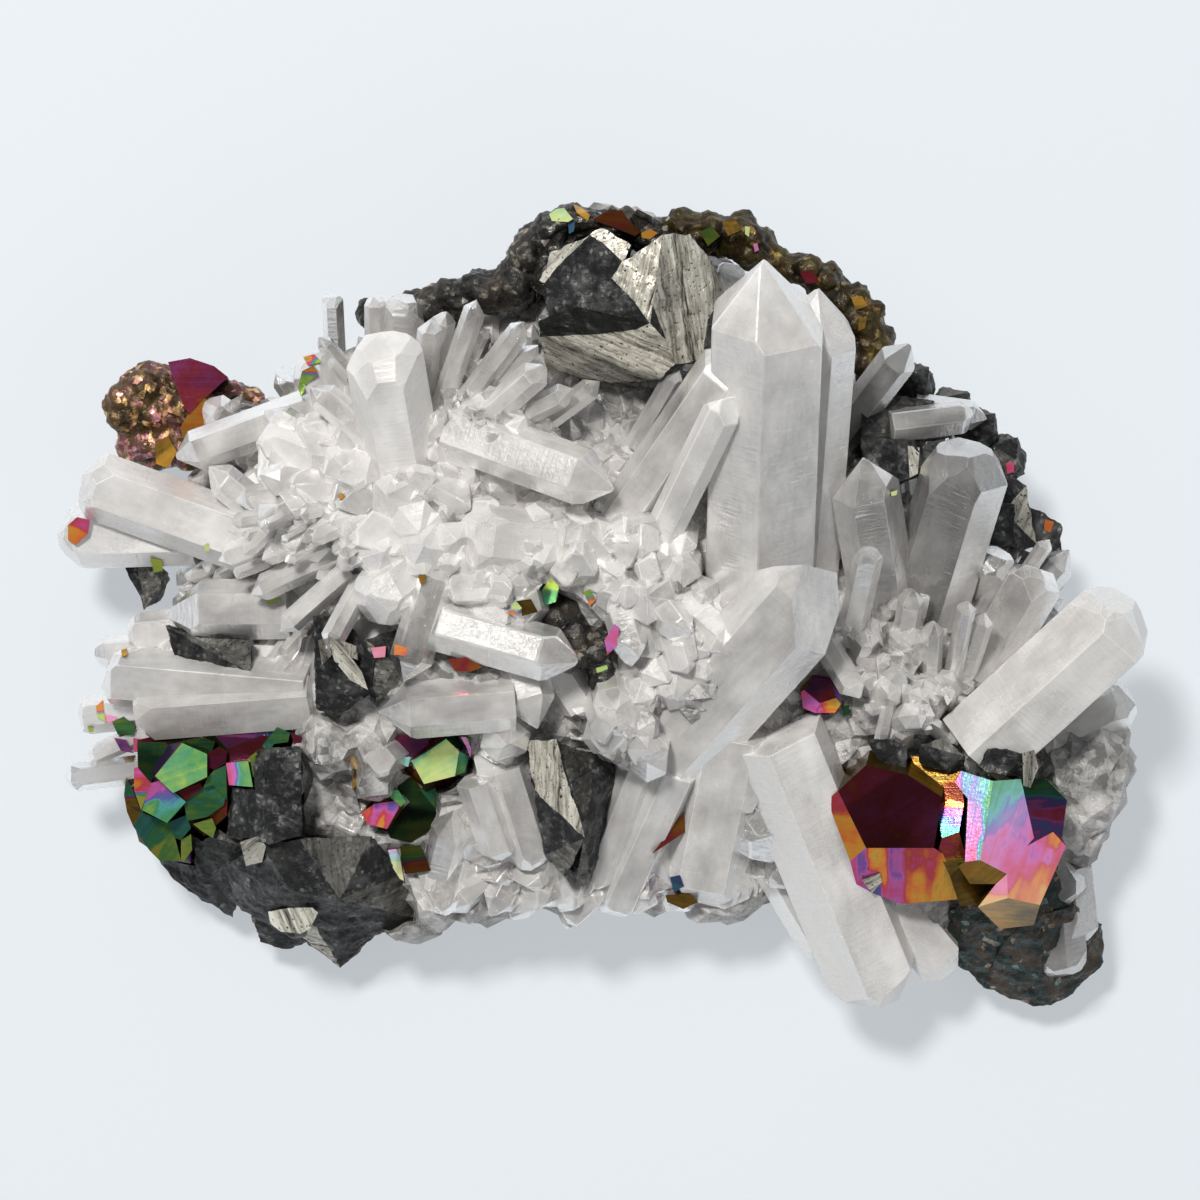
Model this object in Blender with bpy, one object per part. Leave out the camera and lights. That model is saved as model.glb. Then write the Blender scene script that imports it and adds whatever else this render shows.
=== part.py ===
"""A hand specimen of rainbow pyrite, quartz and dark sulfide, at its real size.

Quartz crystals radiate from a milky dome that sits on a slab of vein rock. Dark
sulfide crystals and iridescent pyrite crystals grow between them. The slab is cut
flat underneath and the specimen rests on that cut.

Frame: the origin is under the middle of the specimen, on the surface it rests on.
+X is right and +Y is up as the specimen is seen from straight above, +Z is up.
Forms are listed in millimetres by their plan place (u, v) and their height z.
"""

import math
import random
from collections import namedtuple

import bmesh
import bpy
from mathutils import Vector, noise

MM = 0.001

# The plan places are as an eye straight above the middle sees them, at this height,
# and they are true sizes on the level named here.
EYE_HEIGHT = 470.0
TRUE_LEVEL = 20.0
# The eye stands here, a little off the middle of the specimen's outline.
EYE_X, EYE_Y = 0.1, 0.7

# Room left between one mineral and the next.
GAP = 0.35
# The side of a block that any one form is carved out of.
ROOMY = 400.0
# Facets of a form that lie in one plane to within this angle are one facet.
SAME_PLANE = math.radians(0.3)
SAME_POINT = 1e-5

# The slab: rim in plan, and how it narrows from the rim down to the flat cut.
RIM = [
    (50.0, -13.0), (49.5, -22.0), (46.5, -31.0), (41.0, -35.5), (31.0, -36.0), (24.0, -33.5),
    (16.0, -30.5), (6.0, -28.8), (-5.5, -29.5), (-16.0, -31.5), (-27.0, -32.0), (-36.0, -29.0),
    (-43.0, -22.5), (-45.2, -13.0), (-44.5, -3.5), (-43.0, 5.0), (-42.0, 13.0), (-36.5, 19.5),
    (-28.0, 23.5), (-18.0, 27.5), (-9.5, 30.5), (-5.0, 36.0), (3.5, 38.0), (13.5, 35.2),
    (22.0, 30.5), (29.5, 24.5), (36.5, 17.5), (42.5, 11.0), (45.3, 2.0), (47.3, -6.0),
]
SLAB_LEVELS = [(0.0, 0.60), (1.6, 0.70), (4.2, 0.86), (7.0, 0.95)]
SLAB_TOP = 9.0
DOME_LEVELS = [(3.0, 0.72), (7.6, 0.95), (9.4, 0.985), (12.2, 0.92), (16.0, 0.77), (19.4, 0.57), (22.0, 0.34)]
DOME_TOP = 23.4
# How far the slab's and the dome's walls and brim wander, with noise of these grains per millimetre.
ROUGHNESS = 2.2
ROLL = 0.9
WALL_GRAIN = (0.21, 0.35)
BRIM_GRAIN = (0.17, 0.40)
BRIM_SHIFT = 9.0

# A crystal's end, as parts of its width: where its shoulder starts, and how it narrows there.
CORNER_REACH = 0.52
BLUNT_START = 0.34
BLUNT_SHOULDER = 0.94
BLUNT_FACE = 0.46
CHISEL_START = 0.5
CHISEL_SHOULDER = 0.93
CHISEL_EDGE = 0.55
POINT_START = 0.62
POINT_SHOULDER = 0.9
POINT_EDGE = 0.12
BOTH_START = 0.5
BOTH_SHOULDER = 0.92

# A lump's corners: how many, and how far in or out of an even egg they are pushed.
LUMP_CORNERS = 12
LUMP_TURN = 0.25
LUMP_REACH = (0.86, 1.06)
GOLDEN_TURN = math.pi * (3 - math.sqrt(5))

Crystal = namedtuple("Crystal", "name foot tip width end roll flat", defaults=("point", 0.0, 1.0))
Lump = namedtuple("Lump", "name middle radii")

QUARTZ_CRYSTALS = [
    # the spire and what stands round it
    Crystal("spire", (15.7, -1.0, 20.0), (16.8, 34.2, 40.0), 11.4, "point", 8),
    Crystal("spire_shoulder", (20.0, 1.0, 17.0), (22.2, 30.9, 34.0), 7.6, "point", 20),
    Crystal("spire_left", (1.0, 5.2, 21.0), (14.8, 25.2, 35.5), 6.5, "point", 12),
    Crystal("spire_white", (5.0, 4.0, 25.0), (12.9, 20.2, 37.0), 3.7, "chisel", 5),
    Crystal("flank_gray", (22.0, 14.0, 15.5), (30.8, 25.6, 25.0), 3.7, "point", 0),
    Crystal("smoky", (32.5, -1.0, 15.0), (37.5, 15.5, 26.5), 7.9, "blunt", 14),
    Crystal("smoky_front", (28.5, -1.0, 17.0), (26.0, 14.2, 28.0), 6.4, "point", 0),
    Crystal("tower_1", (25.0, -4.0, 20.0), (27.0, 5.0, 28.5), 2.9, "blunt", 0),
    Crystal("tower_2", (30.3, -5.0, 18.0), (31.3, 0.9, 25.5), 2.4, "point", 0),
    Crystal("tower_3", (35.0, -9.0, 17.0), (36.8, 0.0, 26.0), 2.0, "point", 0),
    # the right side
    Crystal("big_right", (36.5, -15.9, 21.0), (53.2, 0.4, 22.5), 9.8, "blunt", 4),
    Crystal("behind_right", (37.5, -7.2, 15.0), (43.6, 3.3, 18.5), 6.6, "blunt", 10),
    Crystal("right_low", (44.0, -14.0, 12.0), (53.4, -9.6, 12.5), 6.0, "blunt", 0),
    Crystal("round_gray", (38.5, 1.0, 14.0), (39.4, 4.4, 20.5), 4.0, "blunt", 0),
    Crystal("right_knob", (42.5, 0.0, 12.0), (46.8, 5.2, 12.5), 4.0, "point", 0),
    # the broad crystals of the middle and the bottom edge
    Crystal("broad_plate", (5.5, -16.5, 19.0), (22.5, 2.6, 33.5), 10.4, "chisel", 0, 0.6),
    Crystal("bottom_long", (17.5, -13.5, 22.5), (28.2, -39.6, 10.5), 9.2, "blunt", 10),
    Crystal("bottom_beside", (13.5, -12.5, 21.0), (10.0, -29.8, 12.0), 8.2, "blunt", 0),
    Crystal("bottom_slant", (7.5, -16.5, 21.0), (1.0, -31.0, 11.5), 5.6, "blunt", 15),
    Crystal("bottom_slant_2", (4.5, -15.5, 21.0), (-0.6, -28.6, 13.5), 4.8, "blunt", 0),
    Crystal("bottom_corner", (28.0, -29.0, 12.0), (35.0, -37.3, 9.2), 5.6, "blunt", 17),
    Crystal("bottom_low", (18.0, -26.0, 13.0), (23.2, -34.8, 9.4), 6.0, "blunt", 0),
    # the crystals that lie on top in the middle
    Crystal("upright", (-15.8, 4.2, 28.6), (-19.7, -8.3, 28.6), 3.9, "both", 0),
    Crystal("lying_right", (-15.8, -2.4, 27.5), (-2.0, -6.3, 29.5), 5.5, "point", 6),
    Crystal("lying_left", (-8.6, -10.2, 26.0), (-22.3, -11.3, 27.0), 5.7, "point", 6),
    Crystal("clear_hexagon", (-16.3, -28.6, 14.0), (-14.4, -21.3, 20.0), 3.7, "point", 0),
    Crystal("lower_1", (-9.5, -16.5, 20.0), (-6.3, -26.6, 16.5), 4.4, "blunt", 0),
    Crystal("middle_1", (-14.8, 17.2, 26.0), (1.2, 11.4, 30.5), 5.7, "point", 0),
    Crystal("middle_2", (-2.0, 5.0, 26.0), (-13.6, 6.4, 30.0), 6.6, "blunt", 0),
    Crystal("middle_3", (-17.0, 4.5, 25.0), (-23.6, -0.8, 29.0), 6.0, "blunt", 0),
    Crystal("middle_5", (3.5, 3.0, 25.5), (8.8, -4.0, 30.0), 3.6, "chisel", 0),
    # the sheaf at the upper left
    Crystal("milky_stump", (-19.5, 13.0, 23.5), (-21.8, 26.0, 32.5), 7.6, "blunt", 4),
    Crystal("sheaf_1", (-18.0, 17.0, 19.5), (-16.8, 28.3, 28.0), 2.5, "point", 0),
    Crystal("sheaf_2", (-16.0, 19.0, 23.0), (-12.2, 30.0, 29.0), 2.3, "point", 0),
    Crystal("sheaf_3", (-14.5, 18.5, 23.5), (-7.5, 27.6, 30.0), 2.4, "point", 0),
    Crystal("sheaf_5", (-13.5, 16.5, 25.0), (-5.4, 23.6, 31.0), 3.1, "point", 0),
    Crystal("crest_1", (-26.3, 21.0, 12.5), (-26.8, 30.4, 20.0), 2.1, "blunt", 0),
    Crystal("crest_3", (-19.8, 20.5, 15.0), (-19.7, 30.2, 22.0), 3.8, "blunt", 0),
    Crystal("spoke_1", (-21.5, 15.0, 26.0), (-29.0, 21.5, 26.5), 3.0, "point", 0),
    Crystal("spoke_2", (-25.0, 14.0, 24.0), (-33.5, 19.0, 23.0), 2.8, "point", 0),
    Crystal("spoke_3", (-27.0, 11.5, 24.0), (-36.5, 9.8, 22.5), 2.8, "point", 0),
    Crystal("spoke_4", (-27.0, 8.0, 24.0), (-38.2, 3.8, 20.5), 2.8, "point", 0),
    # the left side
    Crystal("long_left", (-28.5, 19.2, 20.0), (-42.4, 14.1, 19.0), 4.2, "point", 4),
    Crystal("left_stub", (-33.5, 15.5, 12.0), (-39.2, 19.3, 17.0), 3.6, "blunt", 0),
    Crystal("fat_left_1", (-34.0, 5.6, 17.0), (-52.0, 12.0, 15.5), 6.9, "blunt", 6),
    Crystal("fat_left_2", (-40.5, 6.8, 13.0), (-54.0, 6.4, 11.8), 6.0, "blunt", 0),
    Crystal("facet_left", (-33.5, 8.5, 19.0), (-39.4, 13.2, 20.0), 3.6, "point", 0),
    Crystal("left_middle", (-31.0, -1.0, 18.0), (-43.6, -1.1, 17.0), 5.9, "point", 0),
    Crystal("left_rough", (-29.0, -9.6, 18.0), (-50.3, -9.3, 13.5), 8.3, "blunt", 0),
    Crystal("left_knob", (-41.5, -3.0, 12.0), (-47.4, -3.6, 12.5), 4.6, "blunt", 0),
    Crystal("left_stub_3", (-43.0, -12.2, 9.6), (-51.0, -15.7, 10.5), 2.2, "blunt", 0),
    Crystal("left_needle", (-42.5, -16.4, 7.8), (-53.4, -17.8, 11.5), 2.8, "blunt", 0),
]

QUARTZ_LUMPS = [
    Lump("dome_1", (-25.3, 10.4, 21.3), (8.0, 8.0, 4.6)),
    Lump("dome_2", (-17.2, 6.8, 24.6), (7.5, 6.5, 4.2)),
    Lump("dome_3", (-7.0, 2.5, 25.4), (7.5, 6.0, 4.0)),
    Lump("dome_4", (3.5, 1.5, 25.2), (6.5, 6.5, 4.0)),
    Lump("dome_5", (10.5, -5.5, 24.0), (7.5, 6.5, 4.2)),
    Lump("dome_6", (-14.2, -8.1, 22.6), (8.0, 5.0, 4.4)),
    Lump("sheaf_root", (-12.0, 16.0, 21.8), (8.0, 5.0, 4.6)),
    Lump("crest_root", (-23.5, 20.5, 16.6), (8.0, 4.2, 4.4)),
    Lump("crumbly", (29.5, -10.5, 18.5), (5.2, 4.0, 4.6)),
    Lump("right_bed", (27.5, -3.5, 17.5), (5.5, 4.5, 3.8)),
    Lump("rough_white", (2.5, -12.6, 23.5), (3.6, 4.3, 4.6)),
    Lump("right_rock_1", (48.5, -16.5, 11.5), (4.6, 7.5, 4.0)),
    Lump("right_rock_2", (46.5, -22.0, 11.0), (4.4, 4.6, 3.6)),
    Lump("bottom_rock_1", (5.5, -27.0, 11.0), (4.6, 3.8, 3.4)),
    Lump("bottom_rock_2", (12.5, -29.5, 10.4), (4.6, 2.9, 3.0)),
    Lump("bottom_rock_3", (-4.0, -27.4, 11.4), (5.2, 4.0, 3.6)),
    Lump("bottom_rock_4", (-11.5, -28.4, 11.4), (6.0, 4.2, 3.8)),
    Lump("bottom_rock_5", (-17.0, -28.6, 12.0), (4.2, 4.4, 4.2)),
    Lump("bottom_rock_6", (-19.0, -32.2, 9.6), (3.2, 2.0, 2.4)),
    Lump("gray_1", (-27.0, -14.6, 18.6), (3.4, 3.2, 3.6)),
    Lump("gray_2", (-22.6, -15.9, 18.2), (2.4, 4.3, 4.0)),
    Lump("left_clear", (-35.6, 19.4, 14.5), (2.4, 1.6, 3.0)),
]


def seen_at(u, v, z):
    """The place, in millimetres, at height z under the plan place (u, v)."""
    k = (EYE_HEIGHT - z) / (EYE_HEIGHT - TRUE_LEVEL)
    return Vector((EYE_X + u * k, EYE_Y + v * k, z))


def placed(points):
    """A list of plan places with heights as true places."""
    return [seen_at(*p) for p in points]


def crystal_points(c):
    """Corners of a six-sided prism with the named kind of end."""
    foot, tip = seen_at(*c.foot), seen_at(*c.tip)
    axis = tip - foot
    along = axis.normalized()
    side = along.cross(Vector((0, 0, 1))).normalized()
    up = side.cross(along)
    radius = c.width * CORNER_REACH

    def ring(distance, scale):
        corners = []
        for i in range(6):
            a = math.radians(60 * i + 30 + c.roll)
            spoke = side * math.cos(a) + up * (math.sin(a) * c.flat)
            corners.append(foot + along * distance + spoke * (radius * scale))
        return corners

    length = axis.length
    if c.end == "blunt":
        shoulder = ring(length - BLUNT_START * c.width, BLUNT_SHOULDER)
        return ring(0, 1.0) + shoulder + ring(length, BLUNT_FACE)
    if c.end == "chisel":
        edge = side * (CHISEL_EDGE * radius)
        shoulder = ring(length - CHISEL_START * c.width, CHISEL_SHOULDER)
        return ring(0, 1.0) + shoulder + [tip - edge, tip + edge]
    shoulder = ring(length - POINT_START * c.width, POINT_SHOULDER) + [tip + side * (POINT_EDGE * radius)]
    if c.end == "both":
        return [foot] + ring(BOTH_START * c.width, BOTH_SHOULDER) + shoulder
    return ring(0, 1.0) + shoulder


def lump_points(lump):
    """Corners of a rough rounded rock, spread evenly over an egg and pushed in and out."""
    draw = random.Random(lump.name)
    middle = seen_at(*lump.middle)
    points = []
    for i in range(LUMP_CORNERS):
        height = 1 - 2 * (i + 0.5) / LUMP_CORNERS
        turn = i * GOLDEN_TURN + draw.uniform(-LUMP_TURN, LUMP_TURN)
        flat = math.sqrt(1 - height * height)
        reach = draw.uniform(*LUMP_REACH)
        spoke = Vector((flat * math.cos(turn), flat * math.sin(turn), height)) * reach
        points.append(middle + Vector([s * r for s, r in zip(spoke, lump.radii)]))
    return points


def lumps(name, rows):
    """Corner lists for a row of lumps of one mineral."""
    return [lump_points(Lump(f"{name}_{i}", row[:3], row[3:])) for i, row in enumerate(rows)]


PYRITE_PAIR = [
    placed([
        (22.8, -19.4, 22.6), (27.7, -16.2, 21.6), (34.2, -19.5, 23.2), (33.4, -24.8, 24.6), (26.6, -24.9, 24.8),
        (22.7, -20.3, 20.6), (25.7, -28.6, 17.6), (30.1, -30.4, 17.2), (36.1, -30.0, 18.2), (36.0, -24.0, 18.0),
        (25.5, -20.0, 12.0), (33.0, -19.0, 12.0), (27.5, -27.0, 11.0), (34.0, -28.0, 11.0),
    ]),
    placed([
        (33.2, -20.4, 21.6), (36.9, -20.2, 20.6), (36.6, -25.5, 22.4), (35.2, -27.6, 21.8), (33.6, -25.0, 22.8),
        (34.0, -21.0, 12.0), (38.0, -21.0, 12.0), (38.0, -27.0, 12.0), (34.0, -26.5, 12.0),
    ]),
    placed([
        (35.4, -18.2, 22.4), (36.2, -17.1, 21.4), (39.2, -18.1, 25.0), (42.1, -17.9, 23.8), (43.4, -23.4, 24.6),
        (40.8, -29.6, 23.6), (40.6, -27.4, 24.8), (37.9, -26.0, 25.6), (36.0, -26.3, 24.0), (36.7, -20.0, 23.4),
        (37.0, -19.0, 12.0), (43.0, -19.0, 12.0), (42.0, -28.0, 12.0), (37.0, -26.0, 12.0),
    ]),
    placed([
        (42.6, -24.6, 24.4), (45.3, -23.2, 22.2), (46.6, -24.6, 21.2), (44.1, -30.5, 21.4), (40.9, -29.7, 23.5),
        (42.2, -26.6, 24.6), (45.0, -25.0, 12.0), (43.0, -29.6, 13.0), (40.6, -26.0, 12.0),
    ]),
    placed([
        (37.9, -30.6, 20.4), (40.8, -29.5, 23.4), (44.0, -30.8, 21.0), (43.3, -32.4, 17.2), (40.0, -32.8, 16.6),
        (38.6, -27.4, 13.0), (43.0, -28.8, 13.0), (40.8, -26.0, 14.0),
    ]),
    placed([
        (42.2, -18.0, 22.4), (45.0, -17.6, 19.2), (46.7, -19.8, 17.6), (46.5, -22.4, 17.2), (45.8, -23.6, 19.0),
        (43.3, -23.5, 22.6), (43.0, -20.0, 11.0), (45.8, -21.0, 11.0),
    ]),
]

PYRITE_LEFT = [
    placed([
        (-42.0, -14.3, 20.4), (-39.4, -15.4, 21.0), (-39.4, -17.7, 20.8), (-42.8, -19.4, 19.6), (-44.5, -17.5, 19.0),
        (-45.6, -14.8, 14.0), (-38.8, -13.4, 15.0), (-37.6, -18.4, 15.0), (-41.6, -21.0, 14.0), (-46.0, -18.6, 13.0),
        (-42.0, -17.0, 9.0),
    ]),
    placed([
        (-44.2, -18.0, 18.6), (-41.5, -20.3, 18.4), (-43.3, -22.2, 16.4), (-45.7, -20.7, 15.6), (-44.9, -18.6, 17.4),
        (-46.6, -17.6, 12.0), (-40.6, -21.6, 12.0), (-43.0, -24.0, 10.0), (-46.8, -21.0, 10.0),
    ]),
    placed([
        (-40.2, -18.6, 18.8), (-37.2, -17.0, 19.2), (-37.4, -21.6, 18.4), (-39.6, -23.6, 16.6), (-41.8, -22.0, 16.4),
        (-40.0, -18.0, 9.0), (-37.0, -19.0, 9.0), (-40.0, -24.0, 9.0),
    ]),
    placed([
        (-37.4, -16.6, 20.8), (-35.1, -16.2, 21.4), (-34.7, -18.7, 20.8), (-37.1, -18.1, 20.2), (-38.0, -15.4, 16.0),
        (-34.0, -14.8, 16.0), (-34.2, -19.0, 13.0), (-37.8, -18.6, 13.0),
    ]),
    placed([
        (-47.2, -20.6, 13.0), (-45.4, -21.2, 14.4), (-41.6, -22.4, 15.0), (-41.0, -26.4, 11.6), (-43.6, -26.0, 8.6),
        (-46.2, -24.2, 8.4), (-42.0, -21.0, 8.0), (-40.0, -26.0, 8.0),
    ]),
    placed([
        (-46.4, -14.0, 15.4), (-44.8, -13.7, 16.6), (-38.6, -13.6, 18.0), (-34.0, -13.9, 18.6), (-32.8, -12.6, 18.8),
        (-30.0, -13.4, 18.8), (-30.2, -15.6, 18.0), (-36.0, -16.4, 17.0), (-45.4, -17.6, 14.0), (-44.0, -15.0, 9.0),
        (-32.0, -14.4, 11.0),
    ]),
]

PYRITE_MIDDLE = [
    placed([
        (-15.4, -13.8, 20.8), (-14.1, -15.2, 21.2), (-14.7, -17.2, 20.6), (-17.6, -18.4, 19.6), (-18.8, -16.0, 20.0),
        (-18.4, -13.2, 16.0), (-12.6, -13.6, 16.0), (-12.8, -17.8, 15.0), (-17.4, -20.2, 14.0), (-20.6, -16.4, 14.0),
        (-16.4, -16.4, 10.0),
    ]),
    placed([
        (-23.9, -21.4, 17.9), (-22.8, -20.0, 18.9), (-19.6, -20.0, 18.7), (-21.3, -22.9, 17.1), (-24.0, -20.0, 12.0),
        (-19.0, -21.4, 13.0), (-21.4, -24.0, 11.0), (-22.0, -19.0, 12.0),
    ]),
    placed([
        (-20.6, -19.0, 16.6), (-18.8, -17.4, 17.2), (-16.4, -19.0, 17.2), (-16.6, -22.0, 16.4), (-18.6, -23.8, 15.6),
        (-21.0, -23.0, 15.2), (-20.0, -18.0, 10.0), (-17.0, -19.0, 10.0), (-18.6, -23.0, 9.0),
    ]),
]

PYRITE_FAR_LEFT = [
    placed([
        (-43.3, 23.8, 13.0), (-41.0, 24.2, 13.6), (-37.3, 23.0, 13.8), (-37.1, 21.8, 13.8), (-39.4, 20.2, 15.0),
        (-41.3, 18.5, 15.4), (-42.8, 16.0, 14.0), (-44.0, 20.0, 14.4), (-43.0, 22.0, 7.0), (-38.0, 20.0, 8.0),
        (-40.0, 16.0, 8.0),
    ]),
] + lumps("far_left", [
    (-46.0, 21.0, 10.6, 3.4, 3.2, 3.4), (-46.8, 17.0, 10.2, 3.0, 3.4, 3.2), (-44.0, 15.4, 10.6, 3.4, 2.6, 3.0),
    (-36.4, 20.8, 12.0, 2.8, 1.7, 2.6), (-34.2, 20.4, 12.2, 1.9, 1.5, 2.4),
])

PYRITE_FRONT = [
    placed([
        (20.0, -9.0, 23.2), (21.3, -7.5, 24.0), (23.2, -7.8, 24.2), (24.1, -9.9, 23.6), (22.9, -11.5, 22.0),
        (20.8, -11.4, 21.8), (20.0, -8.0, 16.0), (23.0, -7.4, 17.0), (23.4, -11.0, 16.0), (20.4, -11.0, 15.0),
    ]),
]

PYRITE_CREST = lumps("crest", [
    (8.6, 37.2, 18.4, 2.4, 2.2, 3.4), (11.8, 37.4, 18.6, 2.6, 2.2, 3.6), (14.6, 36.4, 19.0, 2.4, 2.2, 3.4),
    (16.6, 34.6, 19.2, 2.3, 2.1, 3.2), (19.4, 33.0, 18.6, 2.4, 2.0, 3.2), (22.6, 31.4, 17.8, 2.9, 2.2, 3.0),
    (25.4, 29.2, 16.8, 2.9, 2.8, 3.0), (27.6, 26.2, 16.6, 2.3, 2.8, 2.8),
])

TOP_SULFIDE = [
    placed([
        (-1.2, 36.0, 27.6), (5.0, 27.7, 29.4), (-5.8, 26.3, 26.4), (-5.5, 31.0, 24.4), (-2.6, 35.6, 24.8),
        (3.0, 36.6, 23.0), (-5.0, 34.6, 14.0), (5.0, 36.0, 14.0), (6.0, 27.0, 14.0), (-6.0, 26.0, 14.0),
    ]),
    placed([
        (0.1, 37.2, 26.2), (3.0, 37.4, 26.8), (6.0, 36.2, 28.4), (5.5, 31.5, 31.6), (5.0, 28.0, 31.2),
        (3.0, 30.0, 29.8), (1.2, 32.4, 28.8), (0.0, 37.0, 14.0), (6.0, 36.0, 14.0), (6.0, 28.0, 14.0),
    ]),
    placed([
        (6.4, 36.0, 28.2), (9.5, 36.0, 26.8), (12.0, 35.0, 24.6), (12.2, 30.0, 26.4), (10.5, 26.6, 27.4),
        (10.0, 24.0, 26.0), (8.0, 23.5, 27.4), (5.4, 28.8, 31.4), (6.0, 34.0, 14.0), (12.0, 34.0, 14.0),
        (10.0, 24.0, 14.0),
    ]),
    placed([
        (-6.0, 26.0, 25.2), (1.5, 26.8, 27.6), (5.0, 27.6, 29.0), (7.6, 23.8, 26.6), (6.0, 21.9, 23.6),
        (1.0, 21.6, 21.6), (-5.4, 22.9, 19.8), (-5.6, 29.0, 12.0), (5.6, 30.0, 12.0), (6.0, 22.0, 13.0),
        (-4.0, 22.6, 13.0),
    ]),
] + lumps("ridge", [
    (-21.6, 28.6, 12.0, 3.6, 2.4, 3.2), (-17.4, 29.0, 12.8, 3.4, 2.4, 3.6), (-13.4, 30.0, 13.8, 3.4, 2.6, 4.0),
    (-9.6, 31.2, 14.6, 3.2, 2.8, 4.4), (-6.6, 34.2, 15.4, 3.0, 3.2, 4.6), (-3.8, 37.4, 16.4, 3.2, 2.8, 4.2),
    (0.6, 38.2, 17.2, 3.4, 2.2, 3.8), (4.8, 37.6, 17.6, 2.8, 2.2, 3.6),
])

FLANK_SULFIDE = [
    placed([
        (26.2, 20.2, 21.0), (30.4, 20.4, 20.0), (35.0, 19.6, 17.4), (35.2, 16.4, 17.6), (30.0, 15.8, 20.0),
        (26.2, 16.4, 22.0), (26.0, 20.0, 11.0), (34.0, 19.0, 11.0), (34.0, 16.0, 11.0), (26.0, 17.0, 11.0),
    ]),
    placed([
        (26.0, 16.4, 22.4), (31.4, 16.0, 21.6), (32.6, 13.0, 21.4), (29.2, 11.4, 22.6), (26.6, 13.0, 22.6),
        (26.0, 16.0, 12.0), (32.0, 16.0, 12.0), (31.0, 12.0, 12.0),
    ]),
    placed([
        (38.6, 10.0, 18.0), (41.4, 9.6, 17.6), (41.4, 5.4, 17.0), (38.4, 5.6, 18.0), (38.6, 9.6, 11.0),
        (41.0, 9.0, 11.0), (41.0, 6.0, 11.0),
    ]),
    placed([
        (40.6, 13.0, 15.0), (42.6, 11.4, 15.6), (43.6, 5.6, 15.4), (41.6, 4.6, 16.2), (40.4, 9.0, 16.6),
        (40.4, 12.0, 9.6), (43.4, 6.0, 9.6), (41.0, 5.0, 9.6),
    ]),
    placed([
        (42.6, 9.6, 13.6), (46.2, 7.6, 12.0), (46.0, 4.4, 12.0), (42.4, 5.6, 13.8), (42.0, 9.0, 9.0),
        (45.4, 4.6, 9.0),
    ]),
] + lumps("flank", [
    (35.0, 19.0, 13.8, 3.2, 2.6, 3.2), (37.9, 16.8, 13.6, 2.9, 2.6, 3.0), (40.4, 14.0, 13.0, 2.6, 2.9, 2.8),
    (31.4, 21.2, 15.0, 2.9, 2.8, 3.2), (44.8, 2.8, 11.4, 2.3, 3.2, 2.4),
])

LOWER_LEFT_SULFIDE = [
    placed([
        (-33.6, -14.9, 22.4), (-29.9, -14.6, 23.4), (-29.9, -23.6, 22.4), (-33.0, -24.4, 21.6), (-37.0, -23.6, 18.4),
        (-36.6, -18.8, 19.4), (-34.2, -16.0, 21.6), (-37.0, -16.0, 8.0), (-30.0, -15.0, 8.0), (-30.0, -24.0, 8.0),
        (-38.0, -24.0, 8.0),
    ]),
    placed([
        (-33.8, -24.4, 20.6), (-30.0, -24.0, 21.4), (-22.8, -23.6, 18.4), (-20.0, -27.4, 15.0), (-17.8, -32.0, 9.6),
        (-22.0, -33.4, 9.0), (-26.0, -30.0, 18.6), (-31.0, -29.0, 19.4), (-36.6, -30.6, 9.6), (-37.4, -26.4, 14.6),
        (-31.0, -33.8, 8.6), (-34.0, -26.0, 5.0), (-21.0, -26.0, 5.0), (-22.0, -32.0, 5.0), (-32.0, -32.6, 4.6),
    ]),
    placed([
        (-26.4, -29.4, 18.6), (-23.4, -30.0, 14.8), (-22.4, -33.4, 8.8), (-24.0, -35.2, 6.6), (-26.0, -36.6, 6.4),
        (-28.4, -34.9, 7.0), (-31.2, -32.6, 9.0), (-30.8, -29.0, 18.0), (-23.6, -30.4, 4.6), (-30.0, -30.6, 4.6),
        (-26.6, -34.6, 4.2),
    ]),
    placed([
        (-34.9, -31.4, 8.6), (-34.0, -34.2, 5.4), (-31.0, -34.9, 5.0), (-28.8, -33.9, 6.0), (-29.0, -31.4, 10.4),
        (-34.0, -30.0, 4.4), (-29.4, -30.8, 4.4),
    ]),
    placed([
        (-47.4, -18.4, 9.6), (-46.4, -22.6, 7.0), (-43.8, -26.4, 6.0), (-41.2, -29.2, 5.6), (-36.7, -31.8, 5.6),
        (-35.4, -24.6, 17.0), (-40.2, -23.4, 14.4), (-44.6, -19.0, 11.6), (-45.0, -20.0, 5.0), (-36.0, -26.0, 4.4),
        (-41.0, -27.6, 4.4),
    ]),
]

LOWER_RIGHT_SULFIDE = [
    placed([
        (35.0, -31.0, 13.0), (34.4, -33.0, 10.4), (35.6, -36.2, 8.0), (38.3, -38.6, 6.2), (40.4, -32.0, 15.0),
        (36.6, -30.2, 15.2), (44.6, -31.4, 15.6), (44.0, -38.0, 9.0), (36.0, -31.0, 5.4), (40.0, -37.0, 4.6),
    ]),
    placed([
        (38.4, -38.7, 6.2), (43.6, -40.8, 5.4), (46.5, -40.0, 5.4), (50.4, -36.2, 6.4), (50.2, -32.4, 7.4),
        (47.6, -30.6, 12.6), (43.0, -31.8, 15.4), (40.2, -34.4, 12.6), (41.0, -38.0, 4.4), (49.0, -34.6, 4.6),
        (42.0, -31.4, 4.6),
    ]),
    placed([
        (45.4, -25.4, 13.4), (47.6, -26.6, 12.0), (48.6, -29.0, 10.8), (47.4, -32.0, 12.0), (43.8, -31.8, 15.0),
        (44.0, -27.0, 14.6), (47.6, -28.0, 5.6), (44.0, -30.0, 5.0),
    ]),
]

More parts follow.
